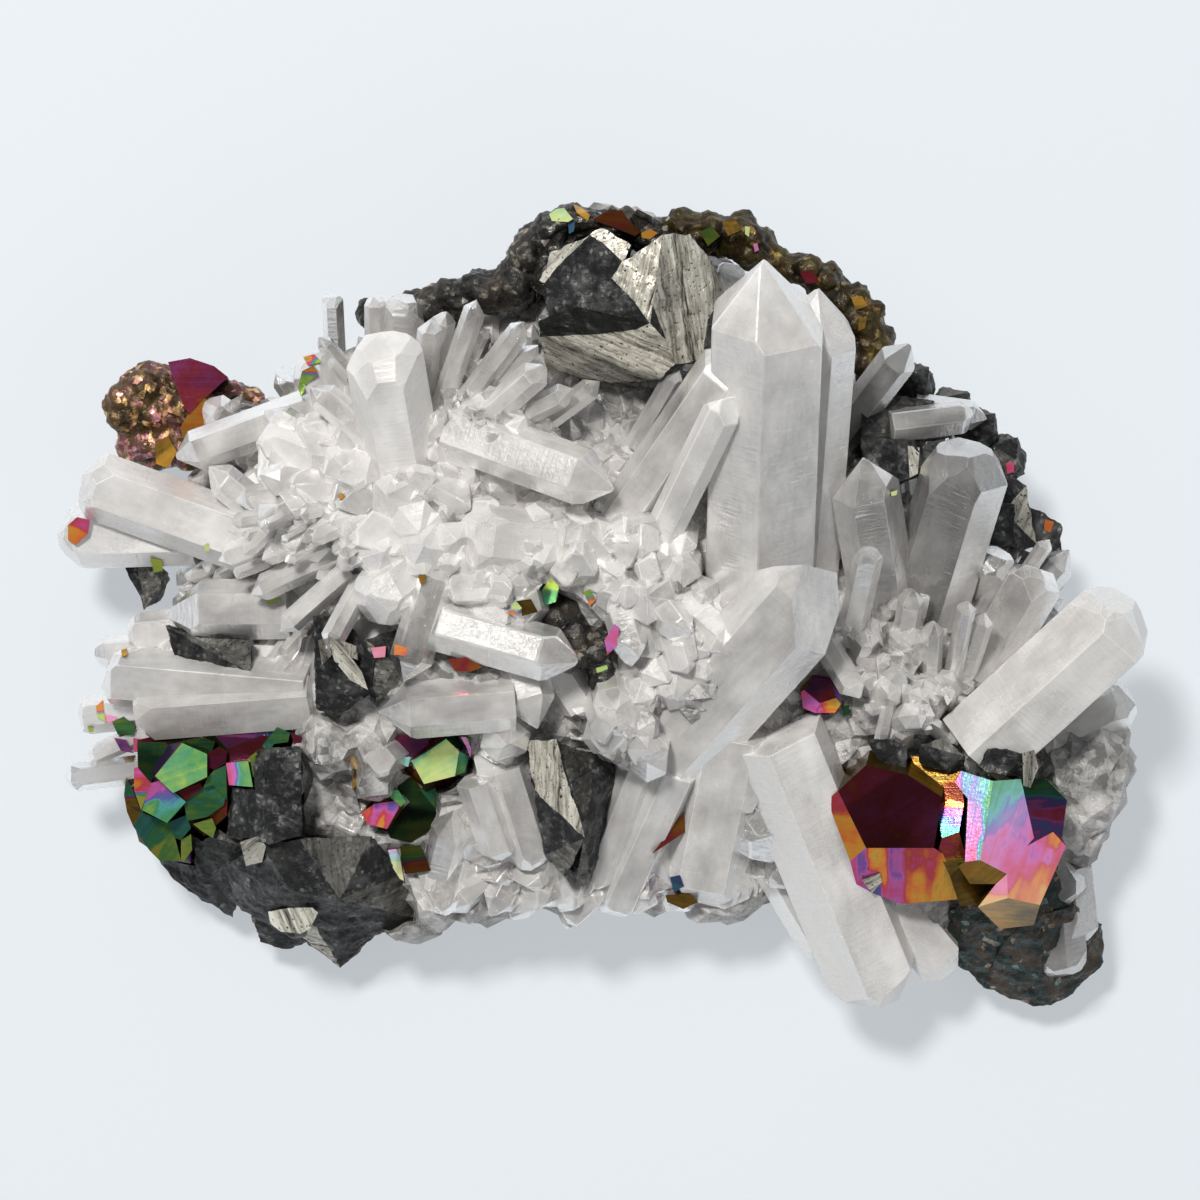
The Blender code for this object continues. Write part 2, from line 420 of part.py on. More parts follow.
MIDDLE_SULFIDE = [
    placed([
        (-7.4, -14.0, 23.0), (-4.4, -14.0, 25.2), (-1.5, -23.8, 25.0), (-3.6, -27.8, 21.0), (-5.5, -25.5, 20.6),
        (-6.6, -19.0, 22.4), (-6.6, -15.0, 12.0), (-2.0, -16.0, 12.0), (-2.4, -26.0, 12.0), (-5.0, -25.0, 12.0),
    ]),
    placed([
        (-4.6, -14.2, 24.6), (-0.4, -15.4, 22.4), (1.8, -17.0, 20.0), (0.2, -22.2, 20.6), (-0.9, -28.2, 17.0),
        (-2.5, -28.7, 17.6), (-1.6, -23.8, 24.6), (-3.0, -16.0, 11.0), (0.6, -17.6, 11.0), (-1.6, -27.0, 11.0),
    ]),
]

LEFT_KNOT_SULFIDE = [
    placed([
        (-28.6, -1.6, 25.4), (-25.8, -1.4, 26.0), (-22.6, -5.8, 25.6), (-23.0, -9.4, 24.0), (-26.6, -11.8, 21.6),
        (-28.4, -10.8, 21.6), (-28.4, -5.4, 24.6), (-28.0, -2.6, 16.0), (-23.4, -6.0, 16.0), (-26.6, -11.0, 15.0),
    ]),
    placed([
        (-23.4, -4.0, 25.2), (-20.4, -3.0, 25.6), (-20.4, -6.4, 25.2), (-19.6, -8.4, 24.4), (-22.4, -10.2, 24.0),
        (-23.6, -9.0, 24.0), (-22.6, -4.6, 17.0), (-20.4, -7.4, 17.0), (-22.8, -9.6, 17.0),
    ]),
]

LEFT_STRIP_SULFIDE = [
    placed([
        (-43.4, -2.6, 17.0), (-40.0, -3.8, 17.8), (-34.8, -4.0, 19.2), (-35.0, -7.4, 18.6), (-38.0, -6.4, 17.4),
        (-42.4, -6.0, 15.8), (-42.0, -4.0, 9.0), (-34.8, -4.6, 11.0), (-35.4, -7.0, 11.0),
    ]),
]

CAP_LEFT = [
    placed([
        (26.8, -14.0, 22.4), (28.8, -13.9, 22.8), (30.8, -14.6, 22.6), (30.6, -17.2, 22.0), (28.0, -16.2, 22.2),
        (27.0, -14.4, 15.0), (30.6, -15.0, 15.0), (29.8, -17.0, 15.0),
    ]),
]

CAP_MIDDLE = [
    placed([
        (32.0, -14.4, 23.0), (34.4, -13.9, 22.6), (36.4, -15.6, 22.2), (36.4, -16.6, 21.4), (34.8, -17.4, 21.6),
        (32.0, -16.2, 22.2), (32.4, -15.0, 14.0), (35.6, -16.0, 14.0), (33.6, -17.0, 14.0),
    ]),
]

CAP_RIGHT = [
    placed([
        (38.8, -14.8, 22.4), (42.8, -15.4, 22.6), (44.4, -16.2, 21.4), (43.6, -17.4, 21.4), (40.0, -17.9, 22.2),
        (37.8, -16.6, 22.0), (39.0, -15.6, 13.0), (43.4, -16.4, 13.0), (40.6, -17.6, 13.0),
    ]),
]

LEFT_RIM_SULFIDE = [
    placed([
        (-47.9, 4.5, 10.4), (-46.4, 4.8, 11.0), (-43.8, 3.6, 11.4), (-44.0, 1.0, 11.4), (-45.6, -1.0, 10.8),
        (-46.4, 1.6, 10.4), (-46.0, 3.0, 7.6), (-43.0, 2.0, 8.0), (-44.0, 0.0, 8.0),
    ]),
]


def mesh_object(name, bm):
    """A mesh object made from a bmesh that is in millimetres."""
    bmesh.ops.scale(bm, vec=(MM, MM, MM), verts=bm.verts)
    mesh = bpy.data.meshes.new(name)
    bm.to_mesh(mesh)
    bm.free()
    piece = bpy.data.objects.new(name, mesh)
    bpy.context.scene.collection.objects.link(piece)
    return piece


def hull(points):
    """The convex form with these corners, as a bmesh whose coplanar triangles are one facet."""
    bm = bmesh.new()
    for p in points:
        bm.verts.new(p)
    made = bmesh.ops.convex_hull(bm, input=bm.verts)
    loose = {e for key in ("geom_interior", "geom_unused") for e in made[key] if isinstance(e, bmesh.types.BMVert)}
    bmesh.ops.delete(bm, geom=list(loose), context="VERTS")
    bmesh.ops.dissolve_limit(bm, angle_limit=SAME_PLANE, verts=bm.verts, edges=bm.edges)
    bmesh.ops.recalc_face_normals(bm, faces=bm.faces)
    return bm


def grown(points, gap=GAP):
    """The same convex form with every facet moved out by the gap."""
    core = hull(points)
    facets = [(f.normal.copy(), f.calc_center_median().copy()) for f in core.faces]
    core.free()
    bm = bmesh.new()
    bmesh.ops.create_cube(bm, size=ROOMY)
    for normal, middle in facets:
        everything = bm.verts[:] + bm.edges[:] + bm.faces[:]
        cut = bmesh.ops.bisect_plane(
            bm, geom=everything, dist=SAME_POINT, plane_co=middle + normal * gap, plane_no=normal, clear_outer=True
        )
        edges = [e for e in cut["geom_cut"] if isinstance(e, bmesh.types.BMEdge)]
        bmesh.ops.contextual_create(bm, geom=edges)
    bmesh.ops.recalc_face_normals(bm, faces=bm.faces)
    return bm


def rock(levels, top, gap=0.0):
    """A body with the rim's outline at several levels, closed flat below and by a low cone above."""
    bm = bmesh.new()
    rings = []
    wall_plan, wall_height = WALL_GRAIN
    brim_plan, brim_height = BRIM_GRAIN
    for z, scale in levels:
        ring = []
        for u, v in RIM:
            plan = seen_at(u, v, z)
            reach = noise.noise(Vector((u * wall_plan, v * wall_plan, z * wall_height))) * ROUGHNESS
            lift = 0.0
            if z > levels[0][0]:
                lift = noise.noise(Vector((u * brim_plan, v * brim_plan, z * brim_height + BRIM_SHIFT))) * ROLL
            if z == levels[-1][0]:
                lift += gap
            spoke = Vector((plan.x, plan.y, 0))
            size = spoke.length * scale + reach + gap
            ring.append(bm.verts.new(spoke.normalized() * size + Vector((0, 0, z + lift))))
        rings.append(ring)
    count = len(RIM)
    for low, high in zip(rings, rings[1:]):
        for i in range(count):
            j = (i + 1) % count
            bm.faces.new((low[j], low[i], high[i], high[j]))
    bm.faces.new(rings[0])
    crown = bm.verts.new((0, 0, top + gap))
    for i in range(count):
        bm.faces.new((rings[-1][(i + 1) % count], rings[-1][i], crown))
    bmesh.ops.recalc_face_normals(bm, faces=bm.faces)
    return bm


def combined(piece, others, operation):
    """The piece joined with all the others, or cut by them, in one exact Boolean step."""
    group = bpy.data.collections.new("operands")
    bpy.context.scene.collection.children.link(group)
    for other in others:
        group.objects.link(other)
    step = piece.modifiers.new("combine", "BOOLEAN")
    step.operation = operation
    step.solver = "EXACT"
    step.operand_type = "COLLECTION"
    step.collection = group
    step.use_self = True
    bpy.context.view_layer.update()
    result = piece.evaluated_get(bpy.context.evaluated_depsgraph_get())
    mesh = bpy.data.meshes.new_from_object(result)
    piece.modifiers.clear()
    old = piece.data
    piece.data = mesh
    bpy.data.meshes.remove(old)
    for other in others:
        other_mesh = other.data
        bpy.data.objects.remove(other)
        bpy.data.meshes.remove(other_mesh)
    bpy.data.collections.remove(group)
    return piece


def main_body(bm):
    """Deletes every loose bit except the largest connected body."""
    left = set(bm.verts)
    bodies = []
    while left:
        edge = [left.pop()]
        body = set(edge)
        while edge:
            for link in edge.pop().link_edges:
                for v in link.verts:
                    if v in left:
                        left.discard(v)
                        body.add(v)
                        edge.append(v)
        bodies.append(body)
    bodies.sort(key=len)
    spare = [v for body in bodies[:-1] for v in body]
    bmesh.ops.delete(bm, geom=spare, context="VERTS")


def cleaned(piece):
    """Keeps the main body, without specks left by the cuts, and makes every facet triangles."""
    bm = bmesh.new()
    bm.from_mesh(piece.data)
    main_body(bm)
    bmesh.ops.triangulate(bm, faces=bm.faces)
    bmesh.ops.recalc_face_normals(bm, faces=bm.faces)
    bm.to_mesh(piece.data)
    bm.free()
    return piece


def mineral(name, colour, roughness, metallic):
    """A plain material with the mineral's colour and gloss."""
    material = bpy.data.materials.new(name)
    material.use_nodes = True
    shader = material.node_tree.nodes["Principled BSDF"]
    shader.inputs["Base Color"].default_value = (*colour, 1)
    shader.inputs["Roughness"].default_value = roughness
    shader.inputs["Metallic"].default_value = metallic
    return material


def grow(name, forms, cutters, material):
    """A node: its forms joined in one solid, less the room that its neighbours need."""
    first, *rest = [mesh_object(f"{name}_form", hull(points)) for points in forms]
    first.name = name
    if rest:
        combined(first, rest, "UNION")
    if cutters:
        room = [mesh_object("room", grown(points)) for points in cutters]
        combined(first, room, "DIFFERENCE")
    cleaned(first)
    first.data.name = name
    first.data.materials.clear()
    first.data.materials.append(material)
    return first


def reaches(form, others):
    """Those of the other forms whose boxes touch the form's box, with the gap to spare."""
    low = [min(p[i] for p in form) - 2 * GAP for i in range(3)]
    high = [max(p[i] for p in form) + 2 * GAP for i in range(3)]
    near = []
    for other in others:
        apart = any(
            min(p[i] for p in other) > high[i] or max(p[i] for p in other) < low[i] for i in range(3)
        )
        if not apart:
            near.append(other)
    return near


def near_any(forms, others):
    """The other forms that come near at least one of these forms."""
    kept = []
    for other in others:
        if reaches(other, forms):
            kept.append(other)
    return kept


def clear_scene():
    """Starts from nothing."""
    for thing in list(bpy.data.objects):
        bpy.data.objects.remove(thing)


def build():
    """Builds pyrite first, then sulfide round it, then the slab and the quartz round both."""
    clear_scene()
    pyrite = mineral("iridescent_pyrite", (0.42, 0.24, 0.30), 0.22, 1.0)
    gold = mineral("gold_pyrite", (0.36, 0.25, 0.09), 0.35, 1.0)
    sulfide = mineral("dark_sulfide", (0.10, 0.10, 0.105), 0.42, 0.8)
    quartz = mineral("milky_quartz", (0.82, 0.81, 0.80), 0.22, 0.0)
    rock_stuff = mineral("vein_rock", (0.34, 0.33, 0.31), 0.75, 0.0)

    pyrites = {
        "pyrite_right_pair": (PYRITE_PAIR, pyrite),
        "pyrite_left_group": (PYRITE_LEFT, pyrite),
        "pyrite_middle": (PYRITE_MIDDLE, pyrite),
        "pyrite_far_left": (PYRITE_FAR_LEFT, gold),
        "pyrite_front": (PYRITE_FRONT, pyrite),
        "pyrite_crest": (PYRITE_CREST, gold),
    }
    sulfides = {
        "sulfide_top": TOP_SULFIDE,
        "sulfide_flank": FLANK_SULFIDE,
        "sulfide_lower_left": LOWER_LEFT_SULFIDE,
        "sulfide_lower_right": LOWER_RIGHT_SULFIDE,
        "sulfide_middle": MIDDLE_SULFIDE,
        "sulfide_left_knot": LEFT_KNOT_SULFIDE,
        "sulfide_left_strip": LEFT_STRIP_SULFIDE,
        "sulfide_cap_left": CAP_LEFT,
        "sulfide_cap_middle": CAP_MIDDLE,
        "sulfide_cap_right": CAP_RIGHT,
        "sulfide_left_rim": LEFT_RIM_SULFIDE,
    }
    taken = []
    for name, (forms, material) in pyrites.items():
        grow(name, forms, near_any(forms, taken), material)
        taken += forms
    for name, forms in sulfides.items():
        grow(name, forms, near_any(forms, taken), sulfide)
        taken += forms

    slab = mesh_object("vein_rock", rock(SLAB_LEVELS, SLAB_TOP))
    combined(slab, [mesh_object("room", grown(points)) for points in taken], "DIFFERENCE")
    cleaned(slab)
    slab.data.materials.append(rock_stuff)

    druse = mesh_object("quartz_druse", rock(DOME_LEVELS, DOME_TOP))
    forms = [crystal_points(c) for c in QUARTZ_CRYSTALS] + [lump_points(lump) for lump in QUARTZ_LUMPS]
    combined(druse, [mesh_object("quartz_form", hull(points)) for points in forms], "UNION")
    room = [mesh_object("room", grown(points)) for points in taken]
    room.append(mesh_object("room", rock(SLAB_LEVELS, SLAB_TOP, GAP)))
    combined(druse, room, "DIFFERENCE")
    cleaned(druse)
    druse.data.materials.append(quartz)


build()
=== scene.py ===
"""Looks of the rainbow pyrite specimen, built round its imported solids.

Each large quartz crystal is cut from its own planes. The pyrite and the dark sulfide are
drawn facet by facet or take the facets of their solids, and gain relief, striations and
tarnish. Crusts are melted from lumps. Small crystals and small bright faces grow on them.

A plan place (u, v) and a height z, in millimetres, say where an eye straight above the
specimen sees something. The function seen_at turns them into a true place.
"""

import math
import random
from collections import namedtuple

import bmesh
import bpy
from mathutils import Matrix, Vector, noise
from mathutils.bvhtree import BVHTree


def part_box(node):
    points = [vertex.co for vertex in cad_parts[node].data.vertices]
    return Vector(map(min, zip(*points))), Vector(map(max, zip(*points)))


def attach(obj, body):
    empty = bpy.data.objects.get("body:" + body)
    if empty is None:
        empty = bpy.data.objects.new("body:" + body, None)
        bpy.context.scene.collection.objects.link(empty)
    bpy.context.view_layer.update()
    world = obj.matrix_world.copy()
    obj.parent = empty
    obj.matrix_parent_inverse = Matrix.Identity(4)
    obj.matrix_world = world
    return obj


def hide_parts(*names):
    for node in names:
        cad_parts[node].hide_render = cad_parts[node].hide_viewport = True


MM = 0.001

# The eye, in millimetres, and the level on which plan places are true sizes.
EYE = Vector((0.1, 0.7, 470.0))
TRUE_LEVEL = 20.0
# With these the view is 120 mm wide on the true level.
LENS = 135.0
SENSOR = 36.0

# How clear a crystal is at its foot and its tip, where its row doesn't say: 0 is milky, 1 clear.
PLAIN = (0.40, 0.68)
# A quartz crystal from its foot to its tip (u, v, z): its width, the form of its end, its roll in
# degrees, how clear it is at its foot and tip, how smoky it is from 0 to 1, and how flat.
Crystal = namedtuple(
    "Crystal", "name foot tip width end roll clear smoke flat", defaults=("point", 0, PLAIN, 0, 1)
)
QUARTZ_CRYSTALS = [
    # the spire and what stands round it
    ("spire", (15.7, -1, 20), (16.8, 34, 39.2), 11.4, "point", 34, (0.74, 0.34)),
    ("spire_shoulder", (20, 1, 17), (22.2, 30.9, 34), 7.6, "point", 20, (0.66, 0.42), 0.1),
    ("spire_left", (1, 5.2, 21), (14.8, 25.2, 35.5), 6.5, "point", 12, (0.45, 0.6)),
    ("spire_white", (5, 4, 25), (12.9, 20.2, 37), 3.7, "chisel", 5, (0.35, 0.3)),
    ("flank_gray", (22, 14, 15.5), (30.8, 25.6, 25), 3.7, "point", 0, (0.72, 0.66), 0.72),
    ("smoky", (32.5, -1, 15), (37.5, 15.5, 26.5), 7.9, "blunt", 14, (0.62, 0.54), 0.8),
    ("smoky_front", (28.5, -1, 17), (26, 14.2, 28), 6.4, "point", 0, (0.66, 0.72), 0.4),
    ("tower_1", (25, -4, 20), (27, 5, 28.5), 2.9, "blunt", 0, (0.6, 0.84)),
    ("tower_2", (30.3, -5, 18), (31.3, 0.9, 25.5), 2.4, "point", 0, (0.6, 0.86)),
    ("tower_3", (35, -9, 17), (36.8, 0, 26), 2, "point", 0, (0.6, 0.86)),
    # the right side
    ("big_right", (37.4, -14.6, 17.2), (53, -0.4, 22.6), 9.9, "blunt", 34, (0.3, 0.26)),
    ("behind_right", (37.5, -7.2, 15), (43.6, 3.3, 18.5), 6.6, "blunt", 10, (0.6, 0.72), 0.16),
    ("right_low", (44, -14, 12), (53.4, -9.6, 12.5), 6, "blunt", 0, (0.55, 0.6)),
    ("round_gray", (38.5, 1, 14), (39.4, 4.4, 20.5), 4, "blunt", 0, (0.6, 0.74), 0.4),
    ("right_knob", (42.5, 0, 12), (46.8, 5.2, 12.5), 4, "point", 0, PLAIN, 0.35),
    # the broad crystals of the middle and the bottom edge
    ("broad_plate", (5.5, -16.5, 19), (22.5, 2.6, 33.5), 10.4, "chisel", 0, (0.42, 0.56), 0, 0.6),
    ("bottom_long", (17.5, -13.5, 22.5), (28.2, -39.6, 10.5), 9.2, "blunt", 10, (0.22, 0.24)),
    ("bottom_beside", (13.5, -12.5, 21), (10, -29.8, 12), 8.2, "blunt", 0, (0.38, 0.42)),
    ("bottom_slant", (7.5, -16.5, 21), (1, -31, 11.5), 5.6, "blunt", 15),
    ("bottom_slant_2", (4.5, -15.5, 21), (-0.6, -28.6, 13.5), 4.8, "blunt"),
    ("bottom_corner", (28, -29, 12), (35, -37.3, 9.2), 5.6, "blunt", 17, (0.3, 0.3)),
    ("bottom_low", (18, -26, 13), (23.2, -34.8, 9.4), 6, "blunt", 0, (0.35, 0.4)),
    # the crystals that lie on top in the middle
    ("upright", (-15.8, 4.2, 28.6), (-19.7, -8.3, 28.6), 3.9, "both", 0, (0.62, 0.92)),
    ("lying_right", (-15.8, -2.4, 27.5), (-2, -6.3, 29.5), 5.5, "point", 6),
    ("lying_left", (-8.6, -10.2, 26), (-22.3, -11.3, 27), 5.7, "point", 6, PLAIN, 0.14),
    ("clear_hexagon", (-16.3, -28.6, 14), (-14.4, -21.3, 20), 3.7, "point", 0, (0.8, 0.92)),
    ("lower_1", (-9.5, -16.5, 20), (-6.3, -26.6, 16.5), 4.4, "blunt", 0, PLAIN, 0.12),
    ("middle_1", (-14.8, 17.2, 26), (1.2, 11.4, 30.5), 5.7),
    ("middle_2", (-2, 5, 26), (-13.6, 6.4, 30), 6.6, "blunt", 0, (0.2, 0.3)),
    ("middle_3", (-17, 4.5, 25), (-23.6, -0.8, 29), 6, "blunt", 0, (0.25, 0.3)),
    ("middle_5", (3.5, 3, 25.5), (8.8, -4, 30), 3.6, "chisel"),
    # the sheaf at the upper left
    ("milky_stump", (-19.5, 13, 23.5), (-21.8, 26, 32.5), 7.6, "blunt", 4, (0.12, 0.1)),
    ("sheaf_1", (-18, 17, 19.5), (-16.8, 28.3, 28), 2.5, "point", 0, (0.5, 0.84)),
    ("sheaf_2", (-16, 19, 23), (-12.2, 30, 29), 2.3, "point", 0, (0.5, 0.84)),
    ("sheaf_3", (-14.5, 18.5, 23.5), (-7.5, 27.6, 30), 2.4, "point", 0, (0.5, 0.82)),
    ("sheaf_5", (-13.5, 16.5, 25), (-5.4, 23.6, 31), 3.1),
    ("crest_1", (-26.3, 21, 12.5), (-26.8, 30.4, 20), 2.1, "blunt", 0, (0.85, 0.95)),
    ("crest_3", (-19.8, 20.5, 15), (-19.7, 30.2, 22), 3.8, "blunt", 0, PLAIN, 0.12),
    ("spoke_1", (-21.5, 15, 26), (-29, 21.5, 26.5), 3),
    ("spoke_2", (-25, 14, 24), (-33.5, 19, 23), 2.8),
    ("spoke_3", (-27, 11.5, 24), (-36.5, 9.8, 22.5), 2.8),
    ("spoke_4", (-27, 8, 24), (-38.2, 3.8, 20.5), 2.8),
    # the left side
    ("long_left", (-28.5, 19.2, 20), (-42.4, 14.1, 19), 4.2, "point", 4),
    ("left_stub", (-33.5, 15.5, 12), (-39.2, 19.3, 17), 3.6, "blunt"),
    ("fat_left_1", (-34, 5.6, 17), (-52, 12, 15.5), 6.9, "blunt", 6, (0.25, 0.4)),
    ("fat_left_2", (-40.5, 6.8, 13), (-54, 6.4, 11.8), 6, "blunt", 0, (0.35, 0.55)),
    ("facet_left", (-33.5, 8.5, 19), (-39.4, 13.2, 20), 3.6),
    ("left_middle", (-31, -1, 18), (-43.6, -1.1, 17), 5.9, "point", 0, PLAIN, 0.12),
    ("left_rough", (-29, -9.4, 17.4), (-49.6, -7.6, 13.2), 6.2, "blunt", 12, (0.45, 0.6), 0.14),
    ("left_rough_2", (-28.6, -10.2, 17.8), (-46.6, -11.6, 14.2), 5.4, "blunt", 25, (0.45, 0.62), 0.1),
    ("left_rough_3", (-30, -6.6, 15.6), (-44.6, -6, 13.4), 4.8, "blunt", 40, (0.4, 0.6)),
    ("left_knob", (-41.5, -3, 12), (-47.4, -3.6, 12.5), 4.6, "blunt", 0, (0.3, 0.35)),
    ("left_stub_3", (-43, -12.2, 9.6), (-51, -15.7, 10.5), 2.2, "blunt"),
    ("left_needle", (-42.5, -16.4, 7.8), (-53.4, -17.8, 11.5), 2.8, "blunt", 0, (0.75, 0.88), 0.2),
    # smaller ones between and beside these
    ("ridge_clear", (31.5, 19.3, 17), (38.8, 18.3, 17), 2.9, "point", 0, PLAIN, 0.58),
    ("tower_4", (36, -9, 16), (38.6, -1.2, 23.5), 2.2, "point", 0, (0.6, 0.86)),
    ("tower_5", (33, -9.5, 17), (33.4, -2, 23.5), 2.1, "point", 0, (0.6, 0.86)),
    ("tower_6", (22, -3.5, 21.5), (25.9, -9.9, 25.5), 2.5),
    ("sheaf_4", (-12.5, 18.5, 23), (-6.2, 25.6, 28), 2.1),
    ("sheaf_6", (-11.5, 16.5, 24), (-2.6, 21, 28.5), 2.4, "point", 0, PLAIN, 0.15),
    ("sheaf_7", (-8.5, 15.5, 22), (0, 21.8, 25.5), 2.3, "point", 0, PLAIN, 0.25),
    ("sheaf_8", (3.5, 15.5, 21), (7.9, 23.1, 26), 2.1, "point", 0, PLAIN, 0.3),
    ("spoke_5", (-25.5, 5, 24), (-35, 0.6, 22.5), 2.6),
    ("spoke_6", (-25, 3, 24.5), (-32, -3.2, 24), 2.3),
    ("spoke_7", (-23.5, 2, 25), (-27.3, -5, 28.4), 2.4),
    ("right_sliver", (42.4, 2.4, 14.5), (44.9, 6.1, 17.5), 1.6),
    ("lower_2", (-12.5, -18, 20.5), (-9.8, -25.8, 17.5), 4, "blunt"),
    ("middle_4", (0.5, 4, 25.5), (3.6, -6.2, 29.5), 3.4, "chisel"),
    ("facing_1", (-9.8, -12.5, 19), (-9.3, -14.8, 26.5), 4.7),
    ("crest_2", (-22.3, 21.5, 15), (-22.4, 30.2, 22), 2.1, "blunt"),
    ("crest_4", (-17, 21.5, 17), (-15.4, 29, 23), 2.4),
    ("under_lying", (-8, -6, 25), (-6.2, -12.8, 26), 4.8),
    ("left_stub_1", (-43, -4.6, 11.5), (-50.4, -5.4, 11.5), 3.2, "blunt"),
    ("left_stub_2", (-45, -10.8, 10.5), (-52.2, -11.6, 10.5), 4, "blunt"),
    ("stump_beside", (-25, 16.5, 21), (-29.4, 24.6, 22.6), 4.4, "blunt", 10),
    ("white_wedge", (-26.5, 13.5, 24), (-34, 16.4, 22.6), 4.6, "blunt", 20, (0.12, 0.15)),
    ("bottom_round", (0.5, -21.5, 17), (0.6, -29.4, 12.6), 4.4, "blunt"),
    ("bottom_gray", (5, -23.5, 14.5), (8.6, -30.4, 10.4), 5.2, "blunt", 20, PLAIN, 0.16),
    ("bottom_wide", (-10.6, -24.5, 14), (-7.4, -31.2, 9.6), 5.8, "blunt"),
    ("bottom_left", (-14, -27, 13), (-17.2, -31.6, 9.6), 4.6, "blunt", 12),
    ("white_down", (-20.5, 3.5, 26), (-19.6, -2.2, 28), 5.6, "blunt", 10, (0.1, 0.2)),
    ("flank_clear", (29, 17.4, 20.6), (37.2, 18.4, 19.2), 3.4, "blunt", 15, PLAIN, 0.55),
    ("crust_low_1", (46, -26.6, 9.4), (46.9, -34.6, 8.4), 6.2, "blunt", 40, (0.4, 0.46), 0.66),
    ("crust_low_2", (45.8, -30.4, 9.6), (46.4, -37.6, 7.8), 5.4, "blunt", 30, (0.42, 0.48), 0.72),
    ("crust_low_3", (44.2, -25.4, 11.4), (47.4, -30.2, 11.2), 4.4, "blunt", 0, (0.36, 0.44), 0.6),
]

# Where small crystals fill in: middle and half size of the patch in plan, how many, the place
# they point away from, their lengths, widths, and how clear they are, the sunken share, how
# far they stray from the way out, and how smoky they may be.
Patch = namedtuple("Patch", "middle half count heart length width clear sunk spread smoke")
PATCHES = [
    Patch((-19, 8), (18, 12), 190, (-17, 8, 4), (6, 12), (3, 6.2), (0.08, 0.4), 0.74, 0.2, 0.12),
    Patch((-31, 1), (9, 9), 90, (-18, 12, 14), (5, 10), (0.9, 2), (0.35, 0.75), 0.4, 0.18, 0.18),
    Patch((-16, 22), (12, 8), 70, (-15, 8, 10), (4, 8), (1, 2.4), (0.5, 0.85), 0.35, 0.18, 0.2),
    Patch((2, 2), (12, 13), 130, (2, 4, 0), (5, 9), (2.8, 5.2), (0.1, 0.5), 0.72, 0.28, 0.16),
    Patch((-3, -22), (24, 10), 230, (0, -8, 0), (4.5, 9), (2.8, 5.6), (0.35, 0.8), 0.72, 0.25, 0.26),
    Patch((-42, -6), (11, 14), 130, (-28, -2, 6), (3, 6.5), (1.8, 3.8), (0.3, 0.75), 0.68, 0.28, 0.22),
    Patch((35, -6), (13, 12), 210, (30, -14, 2), (3, 7), (1.2, 3.2), (0.25, 0.8), 0.55, 0.25, 0.18),
    Patch((0, 25), (40, 15), 240, (0, 6, 4), (3.5, 7), (2, 4), (0.5, 0.85), 0.68, 0.25, 0.4),
    Patch((38, 12), (14, 18), 150, (24, 2, 2), (3, 6), (2, 4), (0.5, 0.85), 0.7, 0.25, 0.55),
]

# Lumps are ellipsoids: their middles (u, v, z) and half sizes. These are of milky quartz.
QUARTZ_LUMPS = [
    # the dome of the middle and left
    (-25.3, 10.4, 21.3, 8, 8, 4.6), (-17.2, 6.8, 24.6, 7.5, 6.5, 4.2), (-7, 2.5, 25.4, 7.5, 6, 4),
    (3.5, 1.5, 25.2, 6.5, 6.5, 4), (10.5, -5.5, 24, 7.5, 6.5, 4.2), (-14.2, -8.1, 22.6, 8, 5, 4.4),
    # roots of the sheaf and the crest
    (-12, 16, 21.8, 8, 5, 4.6), (-23.5, 20.5, 16.6, 8, 4.2, 4.4),
    # the right side
    (29.5, -10.5, 18.5, 5.2, 4, 4.6), (27.5, -3.5, 17.5, 5.5, 4.5, 3.8),
    (2.5, -12.6, 23.5, 3.6, 4.3, 4.6), (48.5, -16.5, 11.5, 4.6, 7.5, 4), (46.5, -22, 11, 4.4, 4.6, 3.6),
    # rock along the bottom edge
    (5.5, -27, 11, 4.6, 3.8, 3.4), (12.5, -29.5, 10.4, 4.6, 2.9, 3), (-4, -27.4, 11.4, 5.2, 4, 3.6),
    (-11.5, -28.4, 11.4, 6, 4.2, 3.8), (-17, -28.6, 12, 4.2, 4.4, 4.2), (-19, -32.2, 9.6, 3.2, 2, 2.4),
    # gray quartz, and thin rinds at the left and the top
    (-27, -14.6, 18.6, 3.4, 3.2, 3.6), (-22.6, -15.9, 18.2, 2.4, 4.3, 4),
    (-35.6, 19.4, 14.5, 2.4, 1.6, 3), (0.6, 37.7, 17.2, 4.6, 1.4, 3.2), (4.6, 37.2, 18, 2.6, 1.6, 3.2),
]

# The dome under the lumps: its outline in plan, and its share of that outline at some levels.
RIM = [
    (50, -13), (49.5, -22), (46.5, -31), (41, -35.5), (31, -36), (24, -33.5), (16, -30.5), (6, -28.8),
    (-5.5, -29.5), (-16, -31.5), (-27, -32), (-36, -29), (-43, -22.5), (-45.2, -13), (-44.5, -3.5),
    (-43, 5), (-42, 13), (-36.5, 19.5), (-28, 23.5), (-18, 27.5), (-9.5, 30.5), (-5, 36), (3.5, 38),
    (13.5, 35.2), (22, 30.5), (29.5, 24.5), (36.5, 17.5), (42.5, 11), (45.3, 2), (47.3, -6),
]
DOME_LEVELS = [
    (6.6, 0.84), (7.8, 0.95), (9.4, 0.97), (12.2, 0.90), (16.0, 0.75), (19.4, 0.55), (22.0, 0.32),
]
DOME_TOP = 23.0
DOME_ROUGHNESS = 2.2

